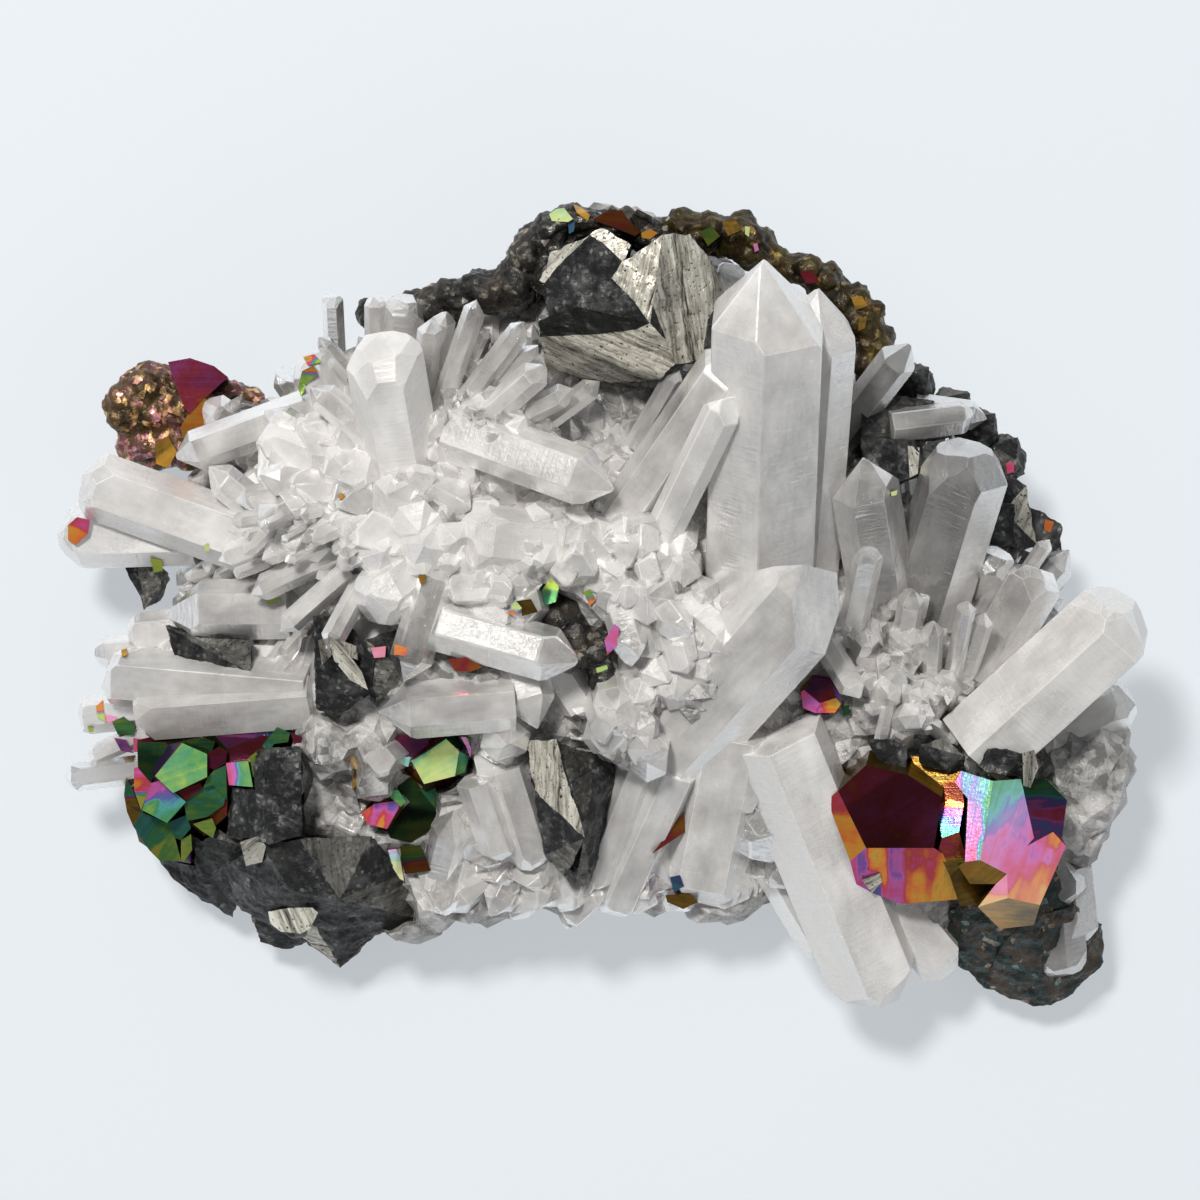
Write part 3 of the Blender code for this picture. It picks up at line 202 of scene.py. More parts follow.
# Lumps of the crusts, and of the dark sulfide between the quartz crystals of the centre.
FAR_LEFT_LUMPS = [
    (-46.2, 18.8, 11, 3.5, 3.7, 3.6), (-45.4, 15.6, 10.4, 3.5, 2.9, 3.2),
    (-44.6, 21.4, 11.4, 3.6, 2.8, 3.4), (-42.2, 15.2, 11, 2.5, 2.3, 3),
    (-41, 19.8, 11.6, 3.4, 3.4, 3.4), (-37.2, 20.7, 11.6, 2.8, 1.5, 2.4),
    (-34.9, 20.2, 11.6, 1.9, 1.3, 2.2),
]
CREST_LUMPS = [
    (8.2, 36.6, 17.4, 2.6, 2.6, 3.8), (11, 37, 17.8, 2.7, 2.3, 3.8), (13.4, 36.6, 18, 2.7, 2.3, 3.8),
    (15.6, 35.2, 18.2, 2.4, 2.3, 3.6), (17.6, 33.8, 18, 2.3, 2.1, 3.4),
    (19.8, 32.8, 17.8, 2.5, 2.1, 3.4), (22.4, 31.4, 17.2, 2.9, 2.3, 3.2),
    (24.6, 30, 16.6, 2.7, 2.4, 3.2), (26.4, 28.2, 16.4, 2.7, 2.5, 3), (27.6, 25.8, 16.2, 2.4, 2.6, 3),
    (27.4, 23.4, 16, 2.4, 2.4, 2.8),
]
RIDGE_LUMPS = [
    (-21.8, 28.4, 12, 3.2, 2.2, 3.2), (-19.4, 28.8, 12.6, 3, 2.2, 3.4), (-16.8, 29.2, 13, 3, 2.4, 3.6),
    (-14, 30, 13.8, 3, 2.5, 3.8), (-11.4, 30.8, 14.4, 2.9, 2.5, 4.2), (-8.8, 31.8, 14.8, 2.9, 2.8, 4.4),
    (-6.6, 34.2, 15.4, 2.8, 3, 4.6), (-5, 36.4, 16, 2.8, 2.8, 4.4), (-3, 37.6, 16.6, 2.9, 2.3, 4.2),
    (-0.6, 37.6, 17, 3, 2, 4), (2, 36.8, 17.4, 3, 2, 3.8), (5, 36.2, 17.6, 2.8, 2, 3.6),
    (-3.6, 32.6, 17, 3, 3.4, 5.2),
]
CENTRE_LUMPS = [
    (-4.4, -1.6, 25.6, 2.6, 1.9, 1.8), (-2.2, -3.2, 25.4, 2.4, 2, 1.8),
    (0.4, -3.4, 25.2, 2.3, 1.9, 1.9), (-1.6, -5.6, 24.8, 2.2, 1.5, 1.6),
    (0.2, -7.4, 24.2, 1.7, 1.5, 1.6), (-5.6, 0.6, 25.4, 1.6, 1.2, 1.5),
]
# Each crust: its lumps, material and slot, and the solids that it stands for.
CRUSTS = {
    "far_left_crust": (FAR_LEFT_LUMPS, "sparkling", "gold_pyrite", ("pyrite_far_left",)),
    "crest_crust": (CREST_LUMPS, "brown", "gold_pyrite", ("pyrite_crest",)),
    "ridge_crust": (RIDGE_LUMPS, "gray_crust", "dark_sulfide", ("sulfide_top",)),
    "sulfide_centre": (CENTRE_LUMPS, "gray_crust", "dark_sulfide", ()),
}

# One flat facet of a tarnished crystal: its corners (u, v), the height of its middle, how it
# rises to the right and upward, what is seen on it as (u, v, film, painted light), and the angle of
# its striations. The film value runs along FILM_COLOURS. The painted light says how bright the facet
# is painted, standing in for the light it catches and the dark it reflects: painted shade where
# low, painted highlight where high.
Facet = namedtuple("Facet", "corners z rise looks turn")
LEFT_FACETS = [Facet(*row) for row in [
    ([(-41.8, -14.3), (-39.3, -15.4), (-39.3, -17.7), (-42.7, -19.3), (-44.5, -17.6)], 20.4,
     (0.1, 0.12),
     [(-42, -16.5, 0.74, 1.12), (-40.5, -16, 0.73, 1.05), (-40, -17.5, 0.75, 1.1)], 20),
    ([(-44.9, -18.3), (-44, -18.1), (-42.6, -19.2), (-41.4, -20.2), (-43.3, -22.3), (-45.8, -21),
     (-45.3, -19.5)], 18.2, (0.2, 0.22),
     [(-44.7, -19, 0.4, 0.75), (-44, -19.5, 0.5, 0.83), (-43.2, -19.5, 0.57, 0.83),
     (-42, -20.2, 0.64, 0.83), (-43.2, -21.5, 0.7, 0.86), (-44.8, -20.5, 0.74, 0.83)], 40),
    ([(-42.7, -19.3), (-40, -18.3), (-39.7, -18.8), (-41.6, -20.2)], 18.6, (0.1, 0.3),
     [(-41.4, -19.2, 0.31, 0.15)], 0),
    ([(-39.7, -18.8), (-38.7, -18.5), (-37.4, -19.3), (-37.6, -20.5), (-39.3, -21.7), (-41.3, -22.1),
     (-41.6, -20.2)], 18, (0.05, 0.25),
     [(-39.5, -20, 0.71, 0.28), (-38, -19.5, 0.7, 0.4)], 0),
    ([(-39.2, -17.7), (-38.6, -17), (-37.4, -16.5), (-37.3, -20), (-38.7, -18.5), (-39.7, -18.8)], 19.2,
     (-0.1, 0.1),
     [(-38.5, -17.5, 0.7, 0.4), (-37.8, -19, 0.72, 0.33)], 0),
    ([(-37.4, -16.3), (-35.2, -16.1), (-34.7, -18.7), (-37.1, -18.5)], 21, (0, 0.15),
     [(-37, -16.8, 0.42, 1.1), (-37, -17.8, 0.4, 1.1), (-36, -16.6, 0.7, 1.1), (-36, -18, 0.68, 1.1),
     (-35.2, -17, 0.72, 1.1), (-35.4, -18.2, 0.73, 1.1), (-36.4, -17.3, 0.45, 1.1)], 90),
    ([(-45.9, -21.2), (-43.3, -22.3), (-42.5, -23.8), (-41.9, -26), (-44, -26.1), (-45.1, -25),
     (-46.7, -22.6)], 14, (0.35, 0.35),
     [(-45, -22, 0.66, 0.21), (-44, -23.5, 0.7, 0.28), (-43.5, -25, 0.75, 0.32),
     (-44.5, -25.5, 0.88, 0.32)], 50),
    ([(-43.3, -22.3), (-41.4, -21.5), (-40.9, -22.8), (-41.9, -24), (-42.5, -23.8)], 15.4, (0.1, 0.3),
     [(-42.2, -22.6, 0.65, 0.25)], 0),
    ([(-40.7, -22.4), (-38.8, -21.8), (-38.4, -22.8), (-38.7, -23.8), (-39.7, -23.2)], 16.6, (0, 0.3),
     [(-39.7, -22.6, 0.78, 0.45)], 0),
    ([(-41.9, -24), (-40.9, -23.4), (-40.8, -25), (-41.6, -26.2), (-41.9, -26)], 14.4, (-0.2, 0.2),
     [(-41.4, -25, 0.8, 0.28)], 0),
    ([(-46.6, -16.8), (-45.8, -16.6), (-44.9, -18.3), (-45.3, -19.5), (-45.9, -21), (-46.6, -19)], 16.2,
     (0.4, 0),
     [(-45.8, -17.2, 0.38, 0.95), (-45.4, -18.5, 0.36, 0.8), (-46.2, -20, 0.86, 0.5),
     (-46.4, -18.5, 0.2, 0.8)], 0),
    ([(-46.3, -14.2), (-43.5, -14.2), (-42.4, -15.2), (-44.5, -17.4), (-44.9, -18.3), (-46.2, -16.8)],
     17, (0.1, 0.1),
     [(-45, -15.5, 0.72, 0.06), (-44, -15, 0.74, 0.14)], 0),
    ([(-47.4, -17.8), (-46.7, -19), (-45.9, -21.2), (-46.7, -22.6), (-47.3, -21.2), (-47.6, -19.5)], 12,
     (0.5, 0.1),
     [(-47, -19, 0.7, 0.25), (-47, -20.5, 0.1, 0.2)], 0),
    ([(-39.2, -15.3), (-38.2, -14.7), (-37.3, -15.2), (-37.4, -16.3), (-38.6, -17), (-39.3, -16.6)],
     19.6, (0, 0.1),
     [(-38.4, -15.8, 0.31, 0.1)], 0),
    ([(-41.8, -14.1), (-40, -13.7), (-38.5, -14.2), (-38.8, -15.1), (-39.3, -15.4), (-41.6, -14.3)],
     18.8, (0, 0),
     [(-41, -14.1, 0.8, 0.1), (-39.5, -14.5, 0.71, 0.1)], 0),
    ([(-37.3, -14.9), (-33.8, -13.5), (-32.7, -13.8), (-32.8, -14.6), (-35, -15.7), (-37.2, -16.2)],
     18.8, (0.05, 0.05),
     [(-36.5, -15.2, 0.34, 0.1), (-34.5, -14.2, 0.32, 0.1), (-33.4, -14, 0.3, 0.1)], 0),
    ([(-32.3, -12.7), (-31, -13.3), (-31.2, -14.2), (-32.6, -14.4), (-33.1, -15.2), (-33.8, -14.6)],
     19.4, (0, 0.1),
     [(-32.2, -13.5, 0.71, 0.33), (-33, -14.5, 0.7, 0.27)], 0),
    ([(-31, -13.2), (-29.6, -13.8), (-29.7, -15.1), (-30.5, -14.6)], 19.2, (0, 0),
     [(-30.3, -14, 0.34, 0.12)], 0),
    ([(-35.2, -15.8), (-34.4, -15.2), (-33.9, -16), (-33.8, -17.4), (-34.7, -17.7)], 20, (0, 0),
     [(-34.4, -16.4, 0.79, 0.35)], 0),
    ([(-50.4, -10.6), (-49.7, -10), (-49.6, -11.2), (-49.4, -12.3), (-50.3, -11.7)], 12.6, (0.2, 0),
     [(-50.1, -10.9, 0.2, 1.1), (-49.8, -11.6, 0.84, 1.2)], 0),
    ([(-49.7, -11.3), (-48.2, -11.7), (-48.6, -12.2), (-49.4, -12.3)], 12.8, (0, 0.2),
     [(-49, -11.9, 0.41, 1.35)], 0),
    ([(-49.4, -12.3), (-48.2, -11.8), (-47.1, -12.7), (-47.2, -13.7), (-48.8, -13.6)], 12.2, (0, 0.35),
     [(-48.2, -12.8, 0.71, 0.5), (-49.2, -12.6, 0.84, 0.4)], 0),
    ([(-48.6, -13.8), (-47.4, -14), (-46.7, -15.3), (-47.9, -15.1)], 12, (0, 0.2),
     [(-47.7, -14.6, 0.46, 0.35)], 0),
    ([(-46.7, -13.8), (-45.4, -14.1), (-45.7, -15.2), (-46.6, -15.2)], 13.4, (0, 0),
     [(-46, -14.5, 0.36, 0.8)], 0),
]]
MIDDLE_FACETS = [Facet(*row) for row in [
    ([(-15.4, -13.9), (-14.1, -15.1), (-14.5, -17.6), (-17.6, -18.4), (-18.8, -16.2)], 21,
     (-0.05, 0.15),
     [(-17, -15.5, 0.79, 1.25), (-15.5, -15, 0.8, 1.3), (-16, -17, 0.81, 1.3), (-17.5, -17, 0.79, 1.25),
     (-17.7, -15.4, 0.67, 1.15)], 30),
    ([(-14.1, -15.1), (-13.1, -15.6), (-13.5, -17.2), (-14.5, -17.6)], 19.8, (-0.3, 0.2),
     [(-13.8, -16.3, 0.71, 0.35)], 0),
    ([(-19.7, -15.7), (-18.9, -15.7), (-19.2, -16.7), (-19.9, -16.4)], 19.2, (0, 0.1),
     [(-19.4, -16.1, 0.64, 1.3)], 0),
    ([(-23.9, -21.3), (-22.6, -20.4), (-19.9, -20), (-20.2, -20.9), (-21.3, -22.9), (-23.3, -22.4)],
     17.8, (0.05, 0.2),
     [(-22.2, -20.7, 0.47, 1), (-20.8, -20.5, 0.5, 0.9), (-22.5, -21.5, 0.42, 1),
     (-21.2, -21.8, 0.38, 1), (-23.2, -21.9, 0.26, 1.05), (-21.8, -22.5, 0.16, 1.1)], 70),
    ([(-20.8, -19), (-20.2, -19), (-19.4, -20.1), (-19.9, -20.7), (-21, -19.7)], 18.4, (0, 0.1),
     [(-20.2, -19.8, 0.73, 0.75)], 0),
    ([(-19.8, -17.6), (-17, -18.6), (-16, -21.2), (-17.1, -23.1), (-18.9, -24.2), (-21, -23.8),
     (-21.3, -22.9), (-19.9, -20.7), (-19.4, -20.1), (-20.2, -19)], 15.8, (-0.05, 0.1),
     [(-19, -21.5, 0.72, 0.01), (-17, -20, 0.73, 0.08), (-17.5, -22.5, 0.8, 0.04)], 0),
    ([(-21.2, -25), (-20.4, -24.9), (-20, -25.7), (-19.6, -28.1), (-20, -27.9), (-20.7, -26.8)], 13.6,
     (0.1, 0.3),
     [(-20.9, -25.1, 0.42, 1.5), (-20.4, -25.4, 0.6, 1.5), (-20.2, -26.6, 0.83, 1.5),
     (-19.9, -27.6, 0.84, 1.5)], 0),
    ([(-20, -24.6), (-18, -24.5), (-16.9, -27.1), (-19.5, -27.4), (-19.9, -25.8)], 12.8, (0, 0.2),
     [(-19, -25.5, 0.8, 0.1), (-17.8, -26.5, 0.2, 0.1)], 0),
    ([(-28.7, -16.8), (-26.9, -16.5), (-25.4, -15.6), (-24.7, -16.8), (-24.8, -19), (-25.5, -20),
     (-27.3, -18.7)], 19, (0.1, 0.1),
     [(-27.5, -17.5, 0.05, 0.45), (-26, -18, 0.1, 0.5), (-25.2, -19, 0.03, 0.3)], 0),
    ([(-25.4, -15.6), (-24.8, -15.2), (-24.1, -15.7), (-24.2, -17), (-24.7, -16.8)], 19.8, (0.1, 0.3),
     [(-24.7, -16, 0.12, 1.2)], 0),
    ([(-24.7, -16.8), (-24.2, -17), (-24, -18.2), (-24.8, -19)], 19.2, (0.4, 0),
     [(-24.4, -17.8, 0.1, 0.6)], 0),
    ([(-20.8, -13.5), (-17, -13.2), (-17.2, -14.8), (-18.8, -15.7), (-20, -14.9)], 18.6, (0, 0),
     [(-19, -14.1, 0.42, 0.14)], 0),
    ([(-13.9, -13.7), (-13.4, -13.7), (-12.8, -15), (-13, -15.7), (-13.3, -14.8)], 20.6, (-0.2, 0.1),
     [(-13.6, -14.1, 0.42, 1.3), (-13.2, -14.8, 0.44, 1.2)], 0),
    ([(-13.4, -13.7), (-12.8, -14), (-12.6, -14.8), (-12.8, -15.1)], 20.2, (-0.3, 0.1),
     [(-13, -14.3, 0.75, 0.9)], 0),
    ([(-22.9, -4.8), (-21.4, -4.6), (-21.5, -5.7), (-22.6, -5.8)], 22.8, (0, 0.1),
     [(-22.2, -5.2, 0.35, 1.35)], 0),
    ([(-21.4, -4.6), (-20.1, -5), (-20.3, -5.8), (-21.5, -5.7)], 22.6, (0.1, 0.1),
     [(-20.9, -5.3, 0.2, 1.1)], 0),
    ([(-15.2, -5.9), (-13.4, -5.7), (-11.7, -6.7), (-13, -7.2), (-14.5, -7.1)], 24, (0, 0.1),
     [(-14, -6.5, 0.29, 0.4), (-12.5, -6.6, 0.22, 0.4)], 0),
    ([(-9.3, -1.2), (-8.4, -0.1), (-7.8, -0.8), (-8.7, -1.6)], 24.6, (0.1, 0.1),
     [(-8.6, -0.9, 0.84, 1.3), (-9, -1.2, 0.15, 1.1)], 0),
    ([(-8.4, -0.1), (-6.9, 0.1), (-6.2, -1.2), (-7.8, -1.6), (-7.8, -0.8)], 24.4, (-0.1, 0),
     [(-7.3, -0.7, 0.05, 0.2)], 0),
    ([(-5.8, 1), (-4.9, 2.2), (-4.1, 1.4), (-4.4, -0.2), (-5.5, -0.5)], 24.8, (0, 0.1),
     [(-5, 0.8, 0.71, 0.3), (-4.4, 1.2, 0.79, 0.9)], 0),
    ([(-1.7, 0.8), (-1, 1.1), (-0.4, 0), (-1, -0.6)], 24.8, (0, 0),
     [(-1.2, 0.5, 0.8, 0.7), (-0.8, -0.2, 0.16, 1)], 0),
    ([(0.9, -5.5), (1.9, -3.8), (2.4, -4.2), (2.2, -6), (1.2, -6.9)], 23.6, (0.1, 0.1),
     [(1.7, -4.6, 0.41, 1.1), (1.8, -6, 0.18, 0.9)], 0),
    ([(-0.4, -6.8), (0.7, -6.5), (0.8, -6.9), (-0.3, -7.3)], 23, (0, 0),
     [(0.2, -6.9, 0.79, 1.2)], 0),
    ([(-4.7, -12.2), (-2.5, -12.4), (-1, -13.8), (-1.2, -15.5), (-4, -14.5)], 22, (0, 0),
     [(-3, -13.5, 0.86, 0.22), (-1.5, -14.5, 0.78, 0.2)], 0),
    ([(5.2, -25.4), (8.4, -21.2), (8.5, -23.2)], 15.4, (0.1, 0),
     [(6.5, -23.5, 0.27, 0.22), (7.8, -22.5, 0.2, 0.2)], 0),
    ([(1.8, -17.5), (3.4, -16.2), (3.6, -17), (2.2, -18.6)], 21.4, (0, 0),
     [(2.6, -17.3, 0.2, 0.6)], 0),
]]
FRONT_FACETS = [Facet(*row) for row in [
    ([(20.4, -9), (21.3, -7.7), (23.1, -8), (23.6, -9.8), (22, -10.3)], 24, (0.05, 0.1),
     [(22, -8.8, 0.45, 0.06), (22.6, -9.2, 0.3, 0.1)], 0),
    ([(20.1, -9.2), (20.4, -9), (22, -10.3), (21.5, -11.3), (20.3, -10.8)], 23, (0.4, 0.2),
     [(20.8, -10, 0.42, 0.9)], 0),
    ([(22, -10.3), (23.6, -9.8), (24.1, -10.4), (23.5, -11.3), (21.5, -11.3)], 22.8, (-0.1, 0.4),
     [(22.6, -10.7, 0.24, 1), (23.6, -10.5, 0.16, 0.9), (21.8, -10.7, 0.5, 0.8)], 0),
    ([(23.1, -8), (23.8, -8.4), (24.1, -10.4), (23.6, -9.8)], 22.8, (-0.4, 0),
     [(23.7, -9, 0.53, 0.4)], 0),
    ([(24.2, -10.6), (25, -10.5), (25.1, -11.3), (24.4, -11.7)], 21.6, (0, 0),
     [(24.6, -11.1, 0.7, 0.15)], 0),
]]
FAR_LEFT_FACETS = [Facet(*row) for row in [
    ([(-43.2, 23.8), (-41, 24.2), (-38.6, 23.4), (-37.2, 22.3), (-39.5, 20.2), (-41.2, 18.6),
     (-42.2, 20.8)], 15.8, (0.08, 0.1),
     [(-41.5, 22.8, 0.37, 0.3), (-38.8, 22.2, 0.35, 0.22), (-41, 20, 0.31, 0.34)], 0),
    ([(-41.2, 18.6), (-39.5, 20.2), (-38.8, 19.2), (-39.7, 16.4), (-41.6, 16), (-42, 17.2)], 15,
     (0.1, 0.25),
     [(-40.6, 18.4, 0.17, 0.55), (-40.6, 16.8, 0.2, 0.45)], 0),
    ([(-44.5, 15.8), (-43.2, 16.4), (-42.3, 14.8), (-43.2, 13.2), (-44.4, 13.6)], 13.6, (0.1, 0.3),
     [(-43.6, 15.4, 0.09, 0.5), (-43.4, 14.2, 0.12, 0.9)], 40),
]]

# Small faces on whatever is under them, their brightness painted: corners (u, v), and looks
# (u, v, film, painted light), the last a painted shade where low and a painted highlight where high.
BITS = [
    ([(27.2, 25.9), (28, 26.8), (28.9, 26.4), (28.9, 25.4), (27.4, 25.1)], [(27.6, 26.2, 0.42, 1.25),
     (28.4, 25.6, 0.33, 1.25)]),
    ([(26.3, 22.6), (26.4, 23.2), (27.7, 23.5), (27, 22.7)], [(26.8, 23, 0.38, 0.9)]),
    ([(25.9, 28.4), (26.7, 28.2), (26.5, 27.2), (25.8, 26.9)], [(26.2, 27.7, 0.07, 0.6)]),
    ([(40.6, 13.7), (41.4, 13.8), (41.4, 12.8), (40.7, 12.6)], [(41, 13.2, 0.36, 0.8)]),
    ([(43.6, 9.3), (44.8, 9.8), (45.1, 8.4), (43.8, 8.1)], [(44.2, 9, 0.36, 1.1), (44.8, 9.4, 0.2, 1)]),
    ([(44.8, 9.8), (45.8, 9.2), (46.1, 8), (45.1, 8.4)], [(45.5, 8.8, 0.73, 0.5)]),
    ([(45.1, 8.2), (46, 7.9), (45.6, 6.8), (45, 7.2)], [(45.5, 7.5, 0.19, 0.8)]),
    ([(29.9, 11.1), (30.6, 11.3), (30.5, 10.8), (30, 10.7)], [(30.3, 11, 0.84, 1.4)]),
    ([(-5.1, 38.6), (-4.4, 39.1), (-3.6, 39.2), (-2.7, 38.1), (-3.2, 37.8), (-4.8, 37.9)],
     [(-4.5, 38.5, 0.8, 1.35), (-3.5, 38.4, 0.77, 1.4), (-3, 38, 0.84, 1.3)]),
    ([(-2.7, 39.6), (-1.9, 39.3), (-1, 38.5), (-1.2, 37.9), (-2.3, 38.7)], [(-2.2, 39.1, 0.1, 1.2),
     (-1.4, 38.3, 0.12, 0.9)]),
    ([(-0.8, 38), (0.5, 38.8), (2.2, 39), (3, 37.8), (4.1, 36.8), (3.5, 36.4), (1, 37.4)],
     [(0.5, 38.2, 0.22, 0.12), (2.5, 37.8, 0.28, 0.14), (3.6, 36.8, 0.24, 0.1)]),
    ([(4.1, 36.7), (5, 37.1), (5.8, 36.7), (5, 36.1), (4.2, 36.2)], [(5, 36.6, 0.17, 0.7)]),
    ([(-3.2, 37.8), (-2.5, 38), (-2.6, 36.9), (-3.1, 36.6)], [(-2.9, 37.3, 0.58, 0.9)]),
    ([(14.5, 37.4), (15, 37.3), (14.9, 36.3), (14.5, 36.6)], [(14.7, 36.8, 0.83, 1.3)]),
    ([(15.3, 35.6), (15.7, 35.7), (15.9, 35), (15.5, 34.8)], [(15.6, 35.2, 0.4, 1.2)]),
    ([(10, 36.8), (11.2, 37.4), (12, 36.4), (10.8, 35.4)], [(11, 36.4, 0.8, 0.35)]),
    ([(12.2, 37.8), (13.5, 38.2), (14.2, 37), (12.8, 36.4)], [(13.2, 37.2, 0.07, 0.4)]),
    ([(20, 32.8), (21.2, 33), (22, 31.8), (20.6, 31.6)], [(21, 32.3, 0.3, 0.3)]),
    ([(25.1, 30.3), (26.2, 30.4), (26.8, 29.4), (25.6, 29)], [(26, 29.8, 0.1, 0.7)]),
    ([(-31, 23.8), (-29.8, 24.4), (-29.5, 23.6), (-30.4, 22.6), (-31.1, 21.2), (-31.4, 22.2)],
     [(-30.4, 23.6, 0.07, 0.8), (-31.1, 22, 0.8, 0.7)]),
    ([(-29.7, 24.3), (-28.6, 24.6), (-27.8, 23.8), (-29.2, 23.4)], [(-29.2, 24, 0.09, 1.1),
     (-28.2, 23.9, 0.84, 0.9)]),
    ([(-47.9, -5), (-47.3, -4.8), (-47.3, -5.5), (-47.8, -5.7)], [(-47.6, -5.2, 0.1, 1.1)]),
    ([(-51.5, -12.8), (-50.9, -12.8), (-51, -13.3), (-51.4, -13.3)], [(-51.2, -13, 0.84, 1)]),
    ([(-26.2, 10.5), (-25.7, 10.7), (-25.6, 10.2), (-26, 10)], [(-25.9, 10.4, 0.14, 0.9)]),
    ([(-18.2, 2.4), (-17.5, 2.6), (-17.4, 1.8), (-17.9, 1.5)], [(-17.8, 2.1, 0.12, 0.5)]),
    ([(-33.4, -0.2), (-32, 0.2), (-31.9, -0.1), (-33.2, -0.5)], [(-32.7, -0.2, 0.8, 0.7)]),
    ([(-41.3, 5.2), (-40.3, 5.9), (-39.2, 5.4), (-39.1, 4.2), (-40.2, 2.9), (-41.4, 3.4)],
     [(-40.8, 5, 0.1, 0.45), (-39.7, 4.4, 0.16, 0.35), (-40.4, 3.5, 0.04, 0.3)]),
    ([(-39.7, 5.4), (-39.2, 5.7), (-39, 5), (-39.4, 4.8)], [(-39.3, 5.3, 0.86, 1.3)]),
    ([(-45, 4.2), (-43.8, 4), (-43.7, 2.9), (-44.6, 2.7)], [(-44.4, 3.5, 0.82, 0.8)]),
    ([(-45.9, 1.6), (-44.8, 1.2), (-44.6, -0.4), (-45.6, -0.6)], [(-45.3, 1, 0.1, 1),
     (-45.1, -0.1, 0.12, 1.2)]),
    ([(-53.2, 7.5), (-52.3, 8.3), (-51, 8), (-51.2, 6.6), (-52.4, 5.5), (-53.2, 6)],
     [(-52.6, 7, 0.19, 0.9), (-51.6, 7.3, 0.38, 0.75)]),
    ([(7, -27.7), (8, -27.5), (8.4, -28.6), (7.4, -29.3)], [(7.7, -28.4, 0.57, 0.3)]),
    ([(6.6, -29.8), (9, -29.6), (9.9, -30.5), (8.4, -31.2), (6.8, -30.5)], [(8, -30.3, 0.1, 0.25)]),
]
# The same of sulfide, painted bright as a painted highlight, with the angle of the striations.
SULFIDE_PAINTED_BRIGHT = [
    ([(-33.6, -31.6), (-31.4, -31.2), (-29.2, -31.2), (-28.6, -31.7), (-29.4, -33.3), (-30.3, -33.8),
     (-32.3, -33.6), (-33.4, -32.8)], [(-31.6, -32.2, 1, 1.4)], 100),
    ([(-36, -24.2), (-34.2, -23.6), (-33.4, -24.6), (-33.8, -26.2), (-35.4, -26.6)],
     [(-34.8, -25, 0.6, 1.2)], 40),
    ([(41, 12.2), (42.8, 11.6), (43.5, 10), (43.1, 4.6), (41.3, 6.1), (40.7, 10)],
     [(42, 8.5, 0.62, 0.7)], 80),
    ([(-27.2, -3.6), (-26.2, -4), (-23.8, -7.2), (-23.2, -9), (-25, -8), (-26.6, -6)],
     [(-25.5, -6, 1, 1.3)], 128),
    ([(-26, -4), (-24.4, -4.6), (-24.2, -6), (-25.2, -5.6)], [(-25, -5, 0.9, 1.2)], 100),
    ([(-28.2, -4), (-27.2, -3.8), (-26.8, -5.5), (-27.8, -6.5)], [(-27.5, -5, 0.55, 0.9)], 100),
    ([(38.4, 9.5), (39.8, 10), (41.2, 8), (41.2, 5.6), (39.6, 6.5)], [(40, 7.8, 0.3, 1.2)], 110),
    ([(31.6, 15.8), (32.8, 15.6), (32.6, 13), (31.8, 12.6)], [(32.2, 14.2, 0.85, 1.2)], 95),
    ([(42.8, -15.5), (44, -15.2), (44.4, -17), (43.6, -19), (42.9, -18.8)], [(43.6, -17, 0.7, 0.9)],
     80),
    ([(38, -16.5), (40, -15.2), (43, -15.8), (42, -17.8), (39.3, -18.1)], [(40.5, -16.8, 0.3, 0.9)],
     20),
    ([(26.2, -28), (28, -27.3), (28.2, -28.2), (27.2, -29.3)], [(27, -28.2, 0.8, 1)], 40),
]

